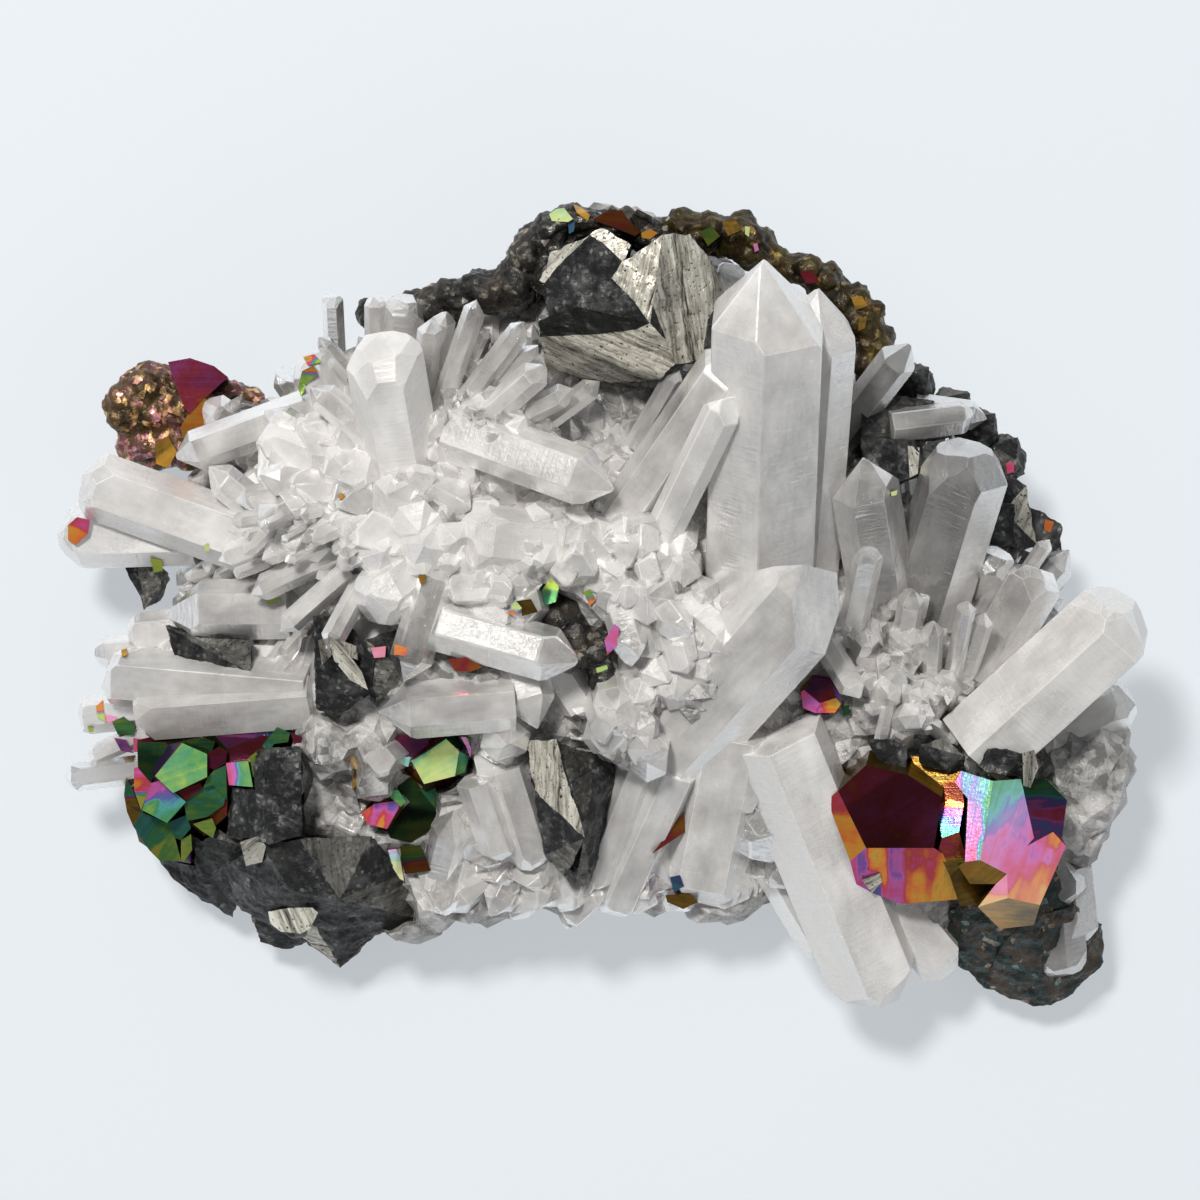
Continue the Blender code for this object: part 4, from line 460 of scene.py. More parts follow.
# Crystals drawn by their corners (u, v, z), the facets between them as (indices, looks, angle of
# the striations), and how far down their walls go.
Form = namedtuple("Form", "corners facets floor")
PAIR_FORMS = [
    # the large crystal, its broad top face painted nearly black, a painted reflection of dark surroundings
    Form([
        (23.8, -19.1, 23.9), (26.6, -16.5, 24.1), (30.8, -17.5, 24.1), (34.2, -19.7, 23.9),
        (33.4, -24.8, 23.7), (26.6, -24.8, 23.8), (22.7, -20, 21.6), (25, -26.1, 21.8),
        (25.7, -28.7, 18.2), (30.1, -30.4, 17.2), (36.2, -29.9, 18), (34.3, -25.4, 23.4), (24, -17, 18),
        (27, -15, 18), (31.2, -16, 20), (34.5, -18.5, 20.5),
    ], [
        ((0, 1, 2, 3, 4, 5), [(28, -20, 0.34, 0.05), (32, -23, 0.37, 0.07), (25.5, -18.5, 0.3, 0.09),
         (30, -24, 0.3, 0.04)], 30),
        ((6, 0, 5, 7), [(23.4, -20.5, 0.3, 0.55), (24.2, -22.5, 0.2, 0.72), (25.2, -25.4, 0.17, 0.8)],
         0),
        ((7, 5, 4, 11, 10, 9, 8), [(25.2, -27, 0.38, 0.7), (26.1, -26.2, 0.5, 0.6),
         (26.3, -28.6, 0.44, 0.6), (27.4, -25.6, 0.18, 0.85), (27.6, -28.6, 0.5, 0.55),
         (28.2, -27, 0.17, 0.85), (29.3, -26, 0.47, 0.55), (29.5, -29.4, 0.42, 0.6),
         (31.5, -25.6, 0.33, 0.55), (33.2, -26, 0.29, 0.6), (31.6, -28.6, 0.19, 0.75),
         (34.2, -28.8, 0.15, 0.75), (35.2, -28.2, 0.12, 0.7)], 88),
        ((12, 13, 1, 0, 6), [(25.5, -16.6, 0.08, 0.16)], 0),
        ((13, 14, 2, 1), [(29, -16.2, 0.06, 0.14)], 0),
        ((14, 15, 3, 2), [(33, -18.2, 0.11, 0.34)], 0),
    ], 9),
    # the notch between the two
    Form([
        (33.6, -20.6, 22.6), (35, -19.9, 21.6), (36.4, -20.3, 22), (35.9, -23.2, 22.4),
        (34.2, -23.8, 22.8), (36.7, -26, 22.8), (35, -27.6, 21.6), (33.8, -25.2, 23), (31, -15.6, 20),
        (34, -15.8, 20.4), (36, -17.2, 20.6), (35.2, -19.2, 21), (40.8, -27.6, 18.6), (39.6, -30.4, 18),
        (36, -30.6, 17.4),
    ], [
        ((0, 1, 2, 3, 4), [(35, -21, 0.47, 0.5), (34.6, -22.8, 0.64, 0.4), (35.6, -20.6, 0.2, 0.9),
         (35.5, -22.2, 0.53, 0.45)], 0),
        ((4, 3, 5, 6, 7), [(35.2, -25, 0.28, 0.22), (35.4, -26.8, 0.08, 0.2)], 0),
        ((8, 9, 10, 2, 1, 0), [(33.5, -18, 0.1, 0.38), (35.6, -18.6, 0.27, 0.16)], 0),
        ((6, 5, 12, 13, 14), [(37, -28.5, 0.1, 0.16), (39, -29, 0.08, 0.28)], 0),
    ], 9),
    # the pink crystal
    Form([
        (35.5, -18.2, 22.6), (36.1, -17.1, 22), (39.3, -18.1, 25), (42.1, -17.9, 23.8),
        (43.4, -23.8, 24.6), (42.7, -24.6, 24.6), (45.3, -23.2, 22.4), (46.6, -24.6, 21.4),
        (44, -30.5, 21.6), (40.8, -29.8, 23.4), (40.7, -27.4, 24.6), (38, -26, 25.6),
        (36.5, -26.2, 24.2), (36.8, -19.9, 23.4), (39.6, -28.4, 20.8), (37, -28.4, 20.4),
        (35.8, -26.6, 21.6), (37.8, -30.7, 21), (43.4, -32.5, 17), (40, -32.9, 16.8),
        (44.6, -17.9, 20.5), (46.7, -20, 17.6), (46.2, -23.8, 17.6),
    ], [
        ((0, 1, 2, 11, 12, 13), [(35.8, -18.1, 0.41, 1.25), (36.6, -17.6, 0.57, 1.3),
         (38.4, -18.5, 0.62, 1.25), (37.6, -19.4, 0.53, 1.35), (37.4, -21, 0.45, 1.35),
         (37.2, -23.5, 0.42, 1.25), (37.2, -25.6, 0.39, 1.2), (38.1, -23, 0.44, 1.3),
         (38.9, -19.8, 0.68, 1.2), (38.6, -22.2, 0.67, 1.15), (38.2, -24.6, 0.65, 1.15)], 82),
        ((2, 3, 4, 5, 6, 7, 8, 9, 10, 11), [(40.4, -18.6, 0.66, 1.2), (41.6, -18.6, 0.64, 1.2),
         (40.8, -20.2, 0.6, 1.25), (40.6, -21.6, 0.51, 1.35), (42, -21.4, 0.5, 1.3),
         (40.4, -23.2, 0.43, 1.25), (42.6, -23.2, 0.42, 1.2), (39.4, -25.2, 0.41, 1.25),
         (41.6, -25.4, 0.4, 1.2), (43.6, -25.4, 0.41, 1.15), (41.4, -27.4, 0.38, 1.2),
         (42.2, -28.8, 0.22, 1.25), (43, -27, 0.34, 1.2), (43.4, -28.6, 0.19, 1.25),
         (44.2, -27.2, 0.24, 1.2), (44.9, -25.6, 0.42, 1.2), (45.6, -24, 0.2, 1.15),
         (46.2, -24.8, 0.36, 1.15), (45.2, -27.4, 0.3, 1.2), (44, -29.8, 0.17, 1.3),
         (41.6, -29.4, 0.2, 1.25)], 68),
        ((12, 11, 10, 14, 15, 16), [(38, -27, 0.1, 0.4), (36.6, -26.8, 0.12, 0.3)], 60),
        ((10, 9, 17, 14), [(40.2, -28.8, 0.36, 1.35), (38.8, -30.2, 0.15, 1.35)], 0),
        ((17, 9, 8, 18, 19), [(40.8, -31.4, 0.1, 0.5), (42.4, -31.4, 0.08, 0.36),
         (39.6, -31.6, 0.13, 0.58)], 0),
        ((3, 20, 21, 22, 6, 5, 4), [(44.6, -19, 0.7, 0.1), (44.4, -20.4, 0.47, 0.13),
         (45.6, -21.4, 0.33, 0.16), (43.8, -22.6, 0.51, 0.2)], 0),
        ((6, 22, 7), [(46.2, -24, 0.3, 0.3)], 0),
    ], 9),
]
TOP_FORMS = [
    Form([
        (-1, 36.5, 27.4), (0.3, 35.7, 27.8), (2.3, 33.8, 28.6), (1.1, 32.2, 28.6), (3.4, 29.9, 29.4),
        (5, 27.7, 30.4), (-2.3, 29.3, 27.6), (-5.2, 28.4, 26.2), (-5.5, 31.7, 24.8), (-3.5, 34.2, 25.4),
        (-6, 27.8, 25.6), (-6, 26.3, 25), (0, 26.6, 27.4), (3.5, 27, 29), (0.1, 37.3, 26.6),
        (3.1, 35.5, 28), (6.2, 36.5, 28.8), (5.5, 31, 30.8), (9, 36.6, 27.4), (11.2, 33.8, 26.2),
        (12.2, 31, 25.6), (10.8, 28, 27), (10.3, 24, 26.4), (7.5, 23.6, 27.6), (6, 22, 24.2),
        (1, 21.7, 21.8), (-5.2, 23, 20.6), (-4.8, 34.8, 23.4), (-5.9, 32, 23), (5.3, 29.6, 29.8),
        (6.6, 26, 27.6),
    ], [
        ((0, 1, 2, 3, 4, 5, 6, 7, 8, 9), [(0, 33, 0, 0.9), (-3.4, 31.4, 0.25, 1), (1.5, 30, 0.05, 0.8)],
         0),
        ((6, 5, 13, 12, 11, 10, 7), [(0, 28, -0.3, 0.75)], 0),
        ((0, 14, 15, 2, 1), [(1.6, 36, 1, 1.3), (2.4, 34.6, 1, 1.3)], 20),
        ((3, 2, 16, 17, 29, 5, 4), [(4, 33, 0.95, 1.2), (2.4, 32.2, 0.9, 1.2), (4.6, 29.6, 1, 1.25)],
         70),
        ((16, 18, 19, 20, 21, 22, 23, 30, 29, 17), [(7, 31, 0.55, 1.1), (9, 28, 0.8, 1.2),
         (10.5, 31, 0.7, 1.1), (8, 35, 0.8, 1.2)], 106),
        ((29, 30, 5), [(5.6, 28.2, -0.2, 0.7)], 106),
        ((11, 12, 13, 5, 30, 23, 24, 25, 26), [(0, 25.5, 0.9, 1.15), (4, 25, 0.95, 1.2),
         (-3.6, 25, 0.6, 1), (1, 22.6, 0.45, 0.9)], 160),
        ((0, 9, 8, 28, 27), [(-4.4, 32.6, 0.95, 1.15), (-2.4, 35.2, 0.8, 1.1)], 40),
    ], 9),
]

# Each pyrite node: the forms and the facets drawn for it, and whether they lie on its own body.
PYRITE_DRAWN = {
    "pyrite_right_pair": (PAIR_FORMS, [], False),
    "pyrite_left_group": ([], LEFT_FACETS, True),
    "pyrite_middle": ([], MIDDLE_FACETS, True),
    "pyrite_front": ([], FRONT_FACETS, True),
    "pyrite_far_left": ([], FAR_LEFT_FACETS, False),
}

# What is seen on the sulfide's facets: plan place, film value (here how bright and striated the
# facet is painted, a painted highlight), painted light, angle of the striations.
SULFIDE_HINTS = [
    # top crystal: a face painted dark, a painted shade, and lower and right faces painted bright, a painted
    # highlight
    (-1, 29.5, 0.05, 0.6, 0), (2, 25, 1, 1.2, 40), (-3, 24, 0.9, 1.1, 40), (3.5, 31.5, 0.95, 1.2, 70),
    (2.6, 36.5, 0.9, 1.3, 0), (9, 31, 0.7, 0.9, 90), (7, 27, 0.7, 0.9, 90),
    # middle blade
    (-5, -19, 0.95, 1.2, 80), (-2, -18, 0.3, 0.8, 30),
    # lower left
    (-31.5, -19, 0.2, 0.9, 0), (-28.5, -30.5, 0.1, 0.7, 0), (-28.4, -32.8, 0.7, 1.1, 20),
    # flank
    (31, 17.5, 0.3, 0.9, 0), (28.5, 14, 0.08, 0.7, 0), (40, 7.5, 0.25, 1, 0), (42, 9, 0.7, 0.9, 60),
]

# Angle between a quartz crystal's axis and the normals of the faces at its tip.
TIP_TILT = math.radians(51.8)
# Half the width of a crystal's sides, as shares of its width.
SIDE_REACH = (0.41, 0.5)
# Width of a crystal's worn edges in millimetres: the most, and the share of the crystal's width.
EDGE_MOST = 0.16
EDGE_SHARE = 0.03
# How far the faces of a worn tip are pushed out, as a share of the width.
WORN_OUT = 0.20
# Small faces of a worn tip: how many, their lift, and their reach from the heart of the tip.
# The first are near its point, and the others all round it.
WORN_FACES = [(3, (0.90, 1.0), (0.36, 0.42)), (9, (0.25, 0.85), (0.43, 0.50))]
WORN_HEART = 0.42

# Sizes of the meshes, in millimetres, and the share of the bed's faces that is kept.
PYRITE_MESH = 0.55
SULFIDE_MESH = 0.5
ACCENT_MESH = 0.4
CRUST_CELL = 0.3
BED_CELL = 0.6
BED_KEPT = 0.16

# How far a node's own body lies under the facets drawn on it, in millimetres.
BODY_DROP = 1.0
# How far the walls go down from a drawn facet, how low at most, and how much they taper.
WALL_DEPTH = 5.0
LOWEST_WALL = 4.0
WALL_TAPER = 0.9
# The slopes of a face that would mirror the main lamp to the camera, how near to them is too
# near, and by how much such a face is turned away.
GLARE = (0.12, -0.20)
GLARE_NEAR = 0.14
GLARE_TURN = 0.26
# Nothing lower than this, in millimetres, carries a small face or the foot of a small crystal.
LOWEST_GROUND = 3.5
LOWEST_FOOT = 5
LOWEST_TIP = 3
# The longest sides of the small faces of pyrite and of sulfide, down to what carries them.
PYRITE_FALL = 3.4
SULFIDE_FALL = 6.0
# A small face with a bad place moves inward by this step, so many times at most.
INWARD_STEP = 0.3
INWARD_TRIES = 6
# The steepest slope of a small face, how high it stands, and how deep its feet go.
STEEPEST = 0.6
ACCENT_LIFT = 0.1
ACCENT_ROOT = 0.6
ACCENT_TAPER = 0.92
# Half the room, in millimetres, that the tips of small crystals stay in.
HALF_ROOM = (54.6, 41.0, 40.5)

QUARTZ_IOR = 1.544
# Colour ramps, as (place, colour): of the milky quartz and of the bed, later of sulfide and rock.
MILK = [(0.34, (0.755, 0.73, 0.71)), (0.52, (0.80, 0.775, 0.75)), (0.68, (0.86, 0.835, 0.81))]
# The bed's darkest colours are a painted shade for the gaps between the crystals.
BED_WITH_PAINTED_SHADE = [(0.32, (0.17, 0.165, 0.16)), (0.5, (0.50, 0.48, 0.46)), (0.68, (0.80, 0.775, 0.75))]
# The colours of a tarnish film as it thickens, from bronze to the second green.
FILM_COLOURS = [
    (0.00, (0.20, 0.11, 0.04)), (0.07, (0.45, 0.27, 0.05)), (0.14, (0.80, 0.42, 0.06)),
    (0.21, (0.92, 0.26, 0.05)), (0.30, (0.72, 0.08, 0.10)), (0.38, (0.85, 0.12, 0.34)),
    (0.44, (0.80, 0.20, 0.62)), (0.49, (0.34, 0.14, 0.55)), (0.55, (0.14, 0.24, 0.60)),
    (0.62, (0.16, 0.58, 0.56)), (0.70, (0.10, 0.42, 0.18)), (0.76, (0.26, 0.56, 0.14)),
    (0.83, (0.62, 0.74, 0.12)), (0.91, (0.86, 0.60, 0.12)), (1.00, (0.80, 0.24, 0.34)),
]
BARE_PYRITE = (0.45, 0.30, 0.12)
# Ramps of the sulfide: the first paints its brightest grains as painted sparkle, the second paints bright
# faces as a painted highlight with dark streaks.
DULL_SULFIDE = [(0.0, (0.028, 0.028, 0.029)), (0.45, (0.10, 0.10, 0.10)), (1.0, (0.46, 0.45, 0.42))]
SULFIDE_PAINTED_SHINE = [
    (0.36, (0.03, 0.03, 0.028)), (0.44, (0.30, 0.28, 0.23)), (0.52, (0.56, 0.53, 0.45)),
    (0.64, (0.78, 0.75, 0.66)),
]
ROCK = [
    (0.28, (0.05, 0.05, 0.05)), (0.48, (0.22, 0.21, 0.20)), (0.62, (0.46, 0.44, 0.40)),
    (0.8, (0.70, 0.68, 0.64)),
]
# Crust materials: the colours of their patches, and the share of their grains that gets no painted glint.
CRUST_LOOKS = {
    "sparkling": ([
        (0.35, (0.55, 0.34, 0.12)), (0.5, (0.86, 0.50, 0.24)), (0.62, (0.90, 0.34, 0.42)),
        (0.75, (0.46, 0.34, 0.32)),
    ], 0.50),
    "brown": ([
        (0.35, (0.24, 0.19, 0.08)), (0.5, (0.28, 0.15, 0.05)), (0.62, (0.36, 0.30, 0.08)),
        (0.75, (0.18, 0.09, 0.04)),
    ], 0.84),
    "gray_crust": ([
        (0.35, (0.20, 0.19, 0.17)), (0.5, (0.30, 0.28, 0.25)), (0.65, (0.26, 0.21, 0.16)),
        (0.8, (0.36, 0.30, 0.22)),
    ], 0.76),
    "tinted": ([
        (0.38, (0.16, 0.34, 0.30)), (0.48, (0.24, 0.25, 0.24)), (0.58, (0.34, 0.24, 0.15)),
        (0.75, (0.26, 0.28, 0.26)),
    ], 0.86),
}
# The film values that facets take where nothing is told of them.
FILMS = (0.05, 0.08, 0.2, 0.3, 0.42, 0.5, 0.70, 0.72)
# For sulfide facets that no hint names: how bright they are painted, a painted highlight where high, and
# below 0 a painted shade.
SHINES = (0.0, 0.0, 0.1, 0.35, -0.2)


def seen_at(u, v, z):
    """The true place, in millimetres, at height z under the plan place (u, v)."""
    k = (EYE.z - z) / (EYE.z - TRUE_LEVEL)
    return Vector((EYE.x + u * k, EYE.y + v * k, z))


def plan_of(p):
    """The plan place (u, v) at which the eye sees a true place."""
    k = (EYE.z - p.z) / (EYE.z - TRUE_LEVEL)
    return (p.x - EYE.x) / k, (p.y - EYE.y) / k


def eye_ray(u, v):
    """The sight line, in millimetres, from the eye through the plan place."""
    return EYE, (seen_at(u, v, 0.0) - EYE).normalized()


def middle_of(places):
    return [sum(p[i] for p in places) / len(places) for i in (0, 1)]


class Shader:
    """A material with one Principled BSDF, and short calls for the nodes that feed it."""

    def __init__(self, name):
        self.material = bpy.data.materials.new(name)
        self.material.use_nodes = True
        self.tree = self.material.node_tree
        self.bsdf = self.tree.nodes["Principled BSDF"]

    def feed(self, socket, value):
        if isinstance(value, bpy.types.NodeSocket):
            self.tree.links.new(value, socket)
        elif value is not None:
            socket.default_value = value

    def set(self, name, value):
        self.feed(self.bsdf.inputs[name], value)

    def node(self, kind, inputs=(), **settings):
        """A node with these inputs, by name or in order, and these settings."""
        made = self.tree.nodes.new(kind)
        for name, value in settings.items():
            setattr(made, name, value)
        for key, value in inputs.items() if isinstance(inputs, dict) else enumerate(inputs):
            self.feed(made.inputs[key], value)
        return made

    def attribute(self, name, output="Fac"):
        return self.node("ShaderNodeAttribute", attribute_name=name).outputs[output]

    def math(self, operation, *values, clamp=False):
        return self.node("ShaderNodeMath", values, operation=operation, use_clamp=clamp).outputs[0]

    def scaled(self, vector, factors):
        return self.node("ShaderNodeVectorMath", (vector, factors), operation="MULTIPLY").outputs[0]

    def object_spot(self):
        """Places on the specimen in millimetres."""
        return self.scaled(self.node("ShaderNodeTexCoord").outputs["Object"], (1 / MM,) * 3)

    def noise(self, place, scale, detail, rough, dimensions="3D"):
        inputs = {"Scale": scale, "Detail": detail, "Roughness": rough}
        inputs["W" if dimensions == "1D" else "Vector"] = place
        return self.node("ShaderNodeTexNoise", inputs, noise_dimensions=dimensions).outputs["Fac"]

    def grains(self, vector, scale):
        """Three random values for each grain, all the same within it."""
        cells = self.node("ShaderNodeTexVoronoi", {"Vector": vector, "Scale": scale}).outputs["Color"]
        return self.node("ShaderNodeSeparateColor", (cells,)).outputs

    def span(self, value, low, high, out_low=0.0, out_high=1.0):
        return self.node("ShaderNodeMapRange", (value, low, high, out_low, out_high)).outputs[0]

    def ramp(self, value, stops):
        made = self.node("ShaderNodeValToRGB", (value,))
        ramp = made.color_ramp
        for i, (place, colour) in enumerate(stops):
            stop = ramp.elements[i] if i < 2 else ramp.elements.new(place)
            stop.position = place
            stop.color = (*colour, 1)
        return made.outputs[0]

    def mix(self, share, a, b, blend="MIX"):
        made = self.node("ShaderNodeMix", (share,), data_type="RGBA", blend_type=blend)
        for socket, value in ((made.inputs[6], a), (made.inputs[7], b)):
            self.feed(socket, (*value, 1) if isinstance(value, tuple) else value)
        return made.outputs[2]

    def paint(self, colour, level):
        """Takes the colour, dimmed or raised by the level, as the surface's own."""
        gray = self.node("ShaderNodeCombineColor", (level, level, level)).outputs[0]
        self.set("Base Color", self.mix(1.0, colour, gray, "MULTIPLY"))

    def bump(self, height, depth, strength):
        """Raises the surface by a height from 0 to 1, times a depth in millimetres."""
        made = self.node("ShaderNodeBump", {"Strength": strength, "Distance": depth * MM, "Height": height})
        self.set("Normal", made.outputs[0])


def quartz_material():
    """Quartz that goes from milky to clear along the values at its points."""
    s = Shader("quartz")
    spot = s.attribute("spot", "Vector")
    clear, tone, edge, smoke = (s.attribute(key) for key in ("clear", "tone", "edge", "smoke"))
    veil = s.noise(s.scaled(spot, (0.26, 0.26, 0.17)), 1.0, 6.0, 0.5)
    threads = s.noise(s.scaled(spot, (1.7, 1.7, 0.45)), 1.0, 4.0, 0.6)
    share = s.math("ADD", clear, s.span(veil, 0.36, 0.66, 0.12, -0.14))
    share = s.math("ADD", share, s.span(threads, 0.35, 0.65, 0.03, -0.04))
    share = s.math("ADD", share, s.math("MULTIPLY", tone, 0.08))
    # The bevelled edges are made a little milkier here and a little brighter below, a painted highlight along
    # them.
    share = s.math("SUBTRACT", share, s.math("MULTIPLY", edge, 0.10))
    s.set("Transmission Weight", s.math("MULTIPLY", s.span(share, 0.0, 1.0), 0.96, clamp=True))
    bright = s.math("ADD", s.span(tone, -1.0, 1.0, 0.92, 1.06), s.math("MULTIPLY", edge, 0.05))
    s.paint(s.ramp(veil, MILK), s.math("MULTIPLY", bright, s.span(smoke, 0.0, 1.0, 1.0, 0.25)))
    s.set("Roughness", s.span(share, 0.1, 0.9, 0.36, 0.04))
    s.set("IOR", QUARTZ_IOR)
    lines = s.noise(s.scaled(spot, (0.35, 0.35, 3.2)), 1.0, 2.0, 0.5)
    worn = s.noise(spot, 0.9, 6.0, 0.7)
    s.bump(s.math("ADD", lines, s.math("MULTIPLY", worn, 1.6)), 0.06, 0.8)
    return s.material


def bed_material():
    """The milky mass under the crystals, painted dark gray in patches as painted shade for the gaps between
    crystals, and white where it is crumbly.
    """
    s = Shader("bed")
    spot = s.attribute("spot", "Vector")
    cloud = s.noise(spot, 0.22, 4.0, 0.6)
    grain = s.grains(spot, 1.1)[0]
    s.set("Base Color", s.ramp(s.math("ADD", cloud, s.span(grain, 0.0, 1.0, -0.14, 0.14)), BED_WITH_PAINTED_SHADE))
    s.set("Roughness", s.span(grain, 0.0, 1.0, 0.10, 0.4))
    s.set("Transmission Weight", s.span(grain, 0.0, 1.0, 0.0, 0.35))
    s.set("IOR", QUARTZ_IOR)
    s.bump(s.math("ADD", grain, s.noise(spot, 1.8, 4.0, 0.6)), 0.22, 0.8)
    return s.material


def pyrite_material():
    """Pyrite with its tarnish film, bare metal in small spots, and light and shade painted on each facet."""
    s = Shader("pyrite")
    film, shade, lines = (s.attribute(key) for key in ("film", "shade", "lines"))
    spot = s.object_spot()
    streaks = s.noise(lines, 1.6, 3.0, 0.6, "1D")
    cloud = s.noise(spot, 0.5, 3.0, 0.55)
    drift = s.math("ADD", s.span(streaks, 0.3, 0.7, -0.028, 0.028), s.span(cloud, 0.3, 0.7, -0.05, 0.05))
    colour = s.ramp(s.math("ADD", film, drift), FILM_COLOURS)
    # Facets painted brightest are mixed toward white: partly the pale tints of a thicker film, partly a
    # painted highlight.
    colour = s.mix(s.span(shade, 1.05, 1.5, 0.0, 0.35), colour, (1.0, 0.98, 0.96))
    spots = s.noise(spot, 4.0, 2.0, 0.6)
    colour = s.mix(s.span(spots, 0.68, 0.74, 0.0, 0.5), colour, BARE_PYRITE)
    # Each facet's colour is dimmed or raised by its painted light: painted shade where low, painted highlight
    # where high.
    s.paint(colour, shade)
    s.set("Metallic", 0.55)
    s.set("Specular IOR Level", 0.15)
    s.set("Roughness", s.span(spots, 0.3, 0.7, 0.12, 0.26))
    s.bump(s.math("ADD", s.noise(lines, 7.0, 2.0, 0.65, "1D"), spots), 0.02, 0.5)
    return s.material


def sulfide_material():
    """Dark gray sulfide: grainy and dull with painted sparkle on its grains, striated and pitted faces
    painted bright as a painted highlight, and faces painted near black as a painted shade.
    """
    s = Shader("sulfide")
    painted_shine, shade, lines, across = (s.attribute(key) for key in ("film", "shade", "lines", "across"))
    spot = s.object_spot()
    place = (s.math("MULTIPLY", lines, 3.2), s.math("MULTIPLY", across, 0.35), 0.0)
    on_face = s.node("ShaderNodeCombineXYZ", place).outputs[0]
    streaks = s.noise(on_face, 1.0, 4.0, 0.65)
    pits = s.noise(s.scaled(on_face, (0.9, 6.5, 1.0)), 1.0, 3.0, 0.6)
    crumbs = s.grains(spot, 2.6)[0]
    patches = s.noise(spot, 0.45, 4.0, 0.6)
    # Bright grains in patches are painted sparkle.
    painted_sparkle = s.math("MULTIPLY", s.span(crumbs, 0.72, 1.0), s.span(patches, 0.42, 0.62, 0.15, 1.0))
    dull = s.mix(s.span(patches, 0.48, 0.66, 0.0, 0.75), s.ramp(painted_sparkle, DULL_SULFIDE), (0.125, 0.125, 0.12))
    bands = s.noise(s.math("MULTIPLY", lines, 0.55), 1.0, 4.0, 0.7, "1D")
    streaky = s.math("ADD", s.math("MULTIPLY", streaks, 0.5), s.math("MULTIPLY", bands, 0.5))
    # Faces with much painted shine take the bright streaky ramp: a painted highlight over real striations and
    # pits.
    bright = s.mix(s.span(pits, 0.60, 0.66), s.ramp(streaky, SULFIDE_PAINTED_SHINE), (0.02, 0.02, 0.02))
    colour = s.mix(s.span(painted_shine, 0.25, 0.75), dull, bright)
    # Faces whose painted shine is below 0 go near black, a painted shade; every face is dimmed or raised by
    # its painted light.
    s.paint(s.mix(s.span(painted_shine, -0.05, -0.25), colour, (0.022, 0.023, 0.021)), shade)
    s.set("Metallic", 0.5)
    s.set("Specular IOR Level", 0.2)
    s.set("Roughness", s.span(crumbs, 0.0, 1.0, 0.28, 0.55))
    relief = s.math("ADD", s.math("MULTIPLY", crumbs, s.span(painted_shine, 0.0, 0.5, 0.6, 0.1)), streaks)
    s.bump(s.math("SUBTRACT", relief, s.span(pits, 0.54, 0.64, 0.0, 0.5)), 0.10, 0.9)
    return s.material


def crust_material(name, stops, dull):
    """A knobbly crust: its colours in patches, dark, with small grains painted bright as painted glints."""
    s = Shader(name)
    spot = s.object_spot()
    first, second, third = s.grains(spot, 1.5)
    patches = s.noise(spot, 0.34, 5.0, 0.65)
    where = s.span(s.noise(spot, 0.6, 4.0, 0.7), 0.46, 0.60, 0.05, 1.0)
    colour = s.ramp(s.math("ADD", patches, s.span(second, 0.0, 1.0, -0.12, 0.12)), stops)
    # Grains above the dull share, where the mask allows, are painted bright: painted glints.
    painted_glints = s.math("MULTIPLY", s.span(first, dull, 1.0), s.math("MULTIPLY", where, 1.5))
    s.paint(colour, s.math("ADD", painted_glints, s.span(patches, 0.35, 0.65, 0.05, 0.26)))
    s.set("Metallic", 0.5)
    s.set("Roughness", s.span(third, 0.0, 1.0, 0.16, 0.5))
    s.bump(s.math("ADD", first, s.noise(spot, 3.0, 3.0, 0.6)), 0.14, 0.9)
    return s.material


def rock_material():
    """Vein rock: gray and buff grains with dark specks."""
    s = Shader("rock")
    spot = s.object_spot()
    grain = s.noise(spot, 1.6, 6.0, 0.65)
    cloud = s.noise(spot, 0.25, 4.0, 0.6)
    s.set("Base Color", s.mix(s.span(cloud, 0.4, 0.65, 0.0, 0.6), s.ramp(grain, ROCK), (0.42, 0.36, 0.28)))
    s.set("Roughness", s.span(grain, 0.3, 0.7, 0.55, 0.9))
    s.bump(grain, 0.25, 0.9)
    return s.material


def floor_material():
    s = Shader("floor")
    s.set("Base Color", (0.38, 0.40, 0.42, 1))
    s.set("Emission Color", (0.40, 0.42, 0.44, 1))
    s.set("Emission Strength", 1.0)
    s.set("Roughness", 0.9)
    s.set("Specular IOR Level", 0.1)
    return s.material


def placed(name, data):
    """A new object of the scene."""
    thing = bpy.data.objects.new(name, data)
    bpy.context.scene.collection.objects.link(thing)
    return thing


def shown(name, mesh, material, nodes=()):
    """An object for the mesh that rides on the specimen and stands for the named solids."""
    mesh.materials.clear()
    mesh.materials.append(material)
    piece = placed(name, mesh)
    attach(piece, "root")
    if nodes:
        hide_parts(*nodes)
    return piece


def mesh_of(bm, name):
    """The form as a mesh. The form itself is used up."""
    mesh = bpy.data.meshes.new(name)
    bm.to_mesh(mesh)
    bm.free()
    return mesh


def resized(bm, factor):
    bmesh.ops.scale(bm, vec=(factor,) * 3, verts=bm.verts)


def modified(bm, kind, **settings):
    """The form after one modifier."""
    piece = placed("form", mesh_of(bm, "form"))
    modifier = piece.modifiers.new("modifier", kind)
    for name, value in settings.items():
        setattr(modifier, name, value)
    bpy.context.view_layer.update()
    result = bpy.data.meshes.new_from_object(piece.evaluated_get(bpy.context.evaluated_depsgraph_get()))
    bpy.data.objects.remove(piece)
    bm = bmesh.new()
    bm.from_mesh(result)
    return bm


def melted(bm, cell):
    """The same body as an even mesh with cells of this size, in millimetres."""
    return modified(bm, "REMESH", mode="VOXEL", voxel_size=cell)


def roughened(bm, moves):
    """Pushes every point along its normal by what the moves say."""
    bm.normal_update()
    steps = [v.normal * moves(v.co) for v in bm.verts]
    for v, step in zip(bm.verts, steps):
        v.co += step
    return bm


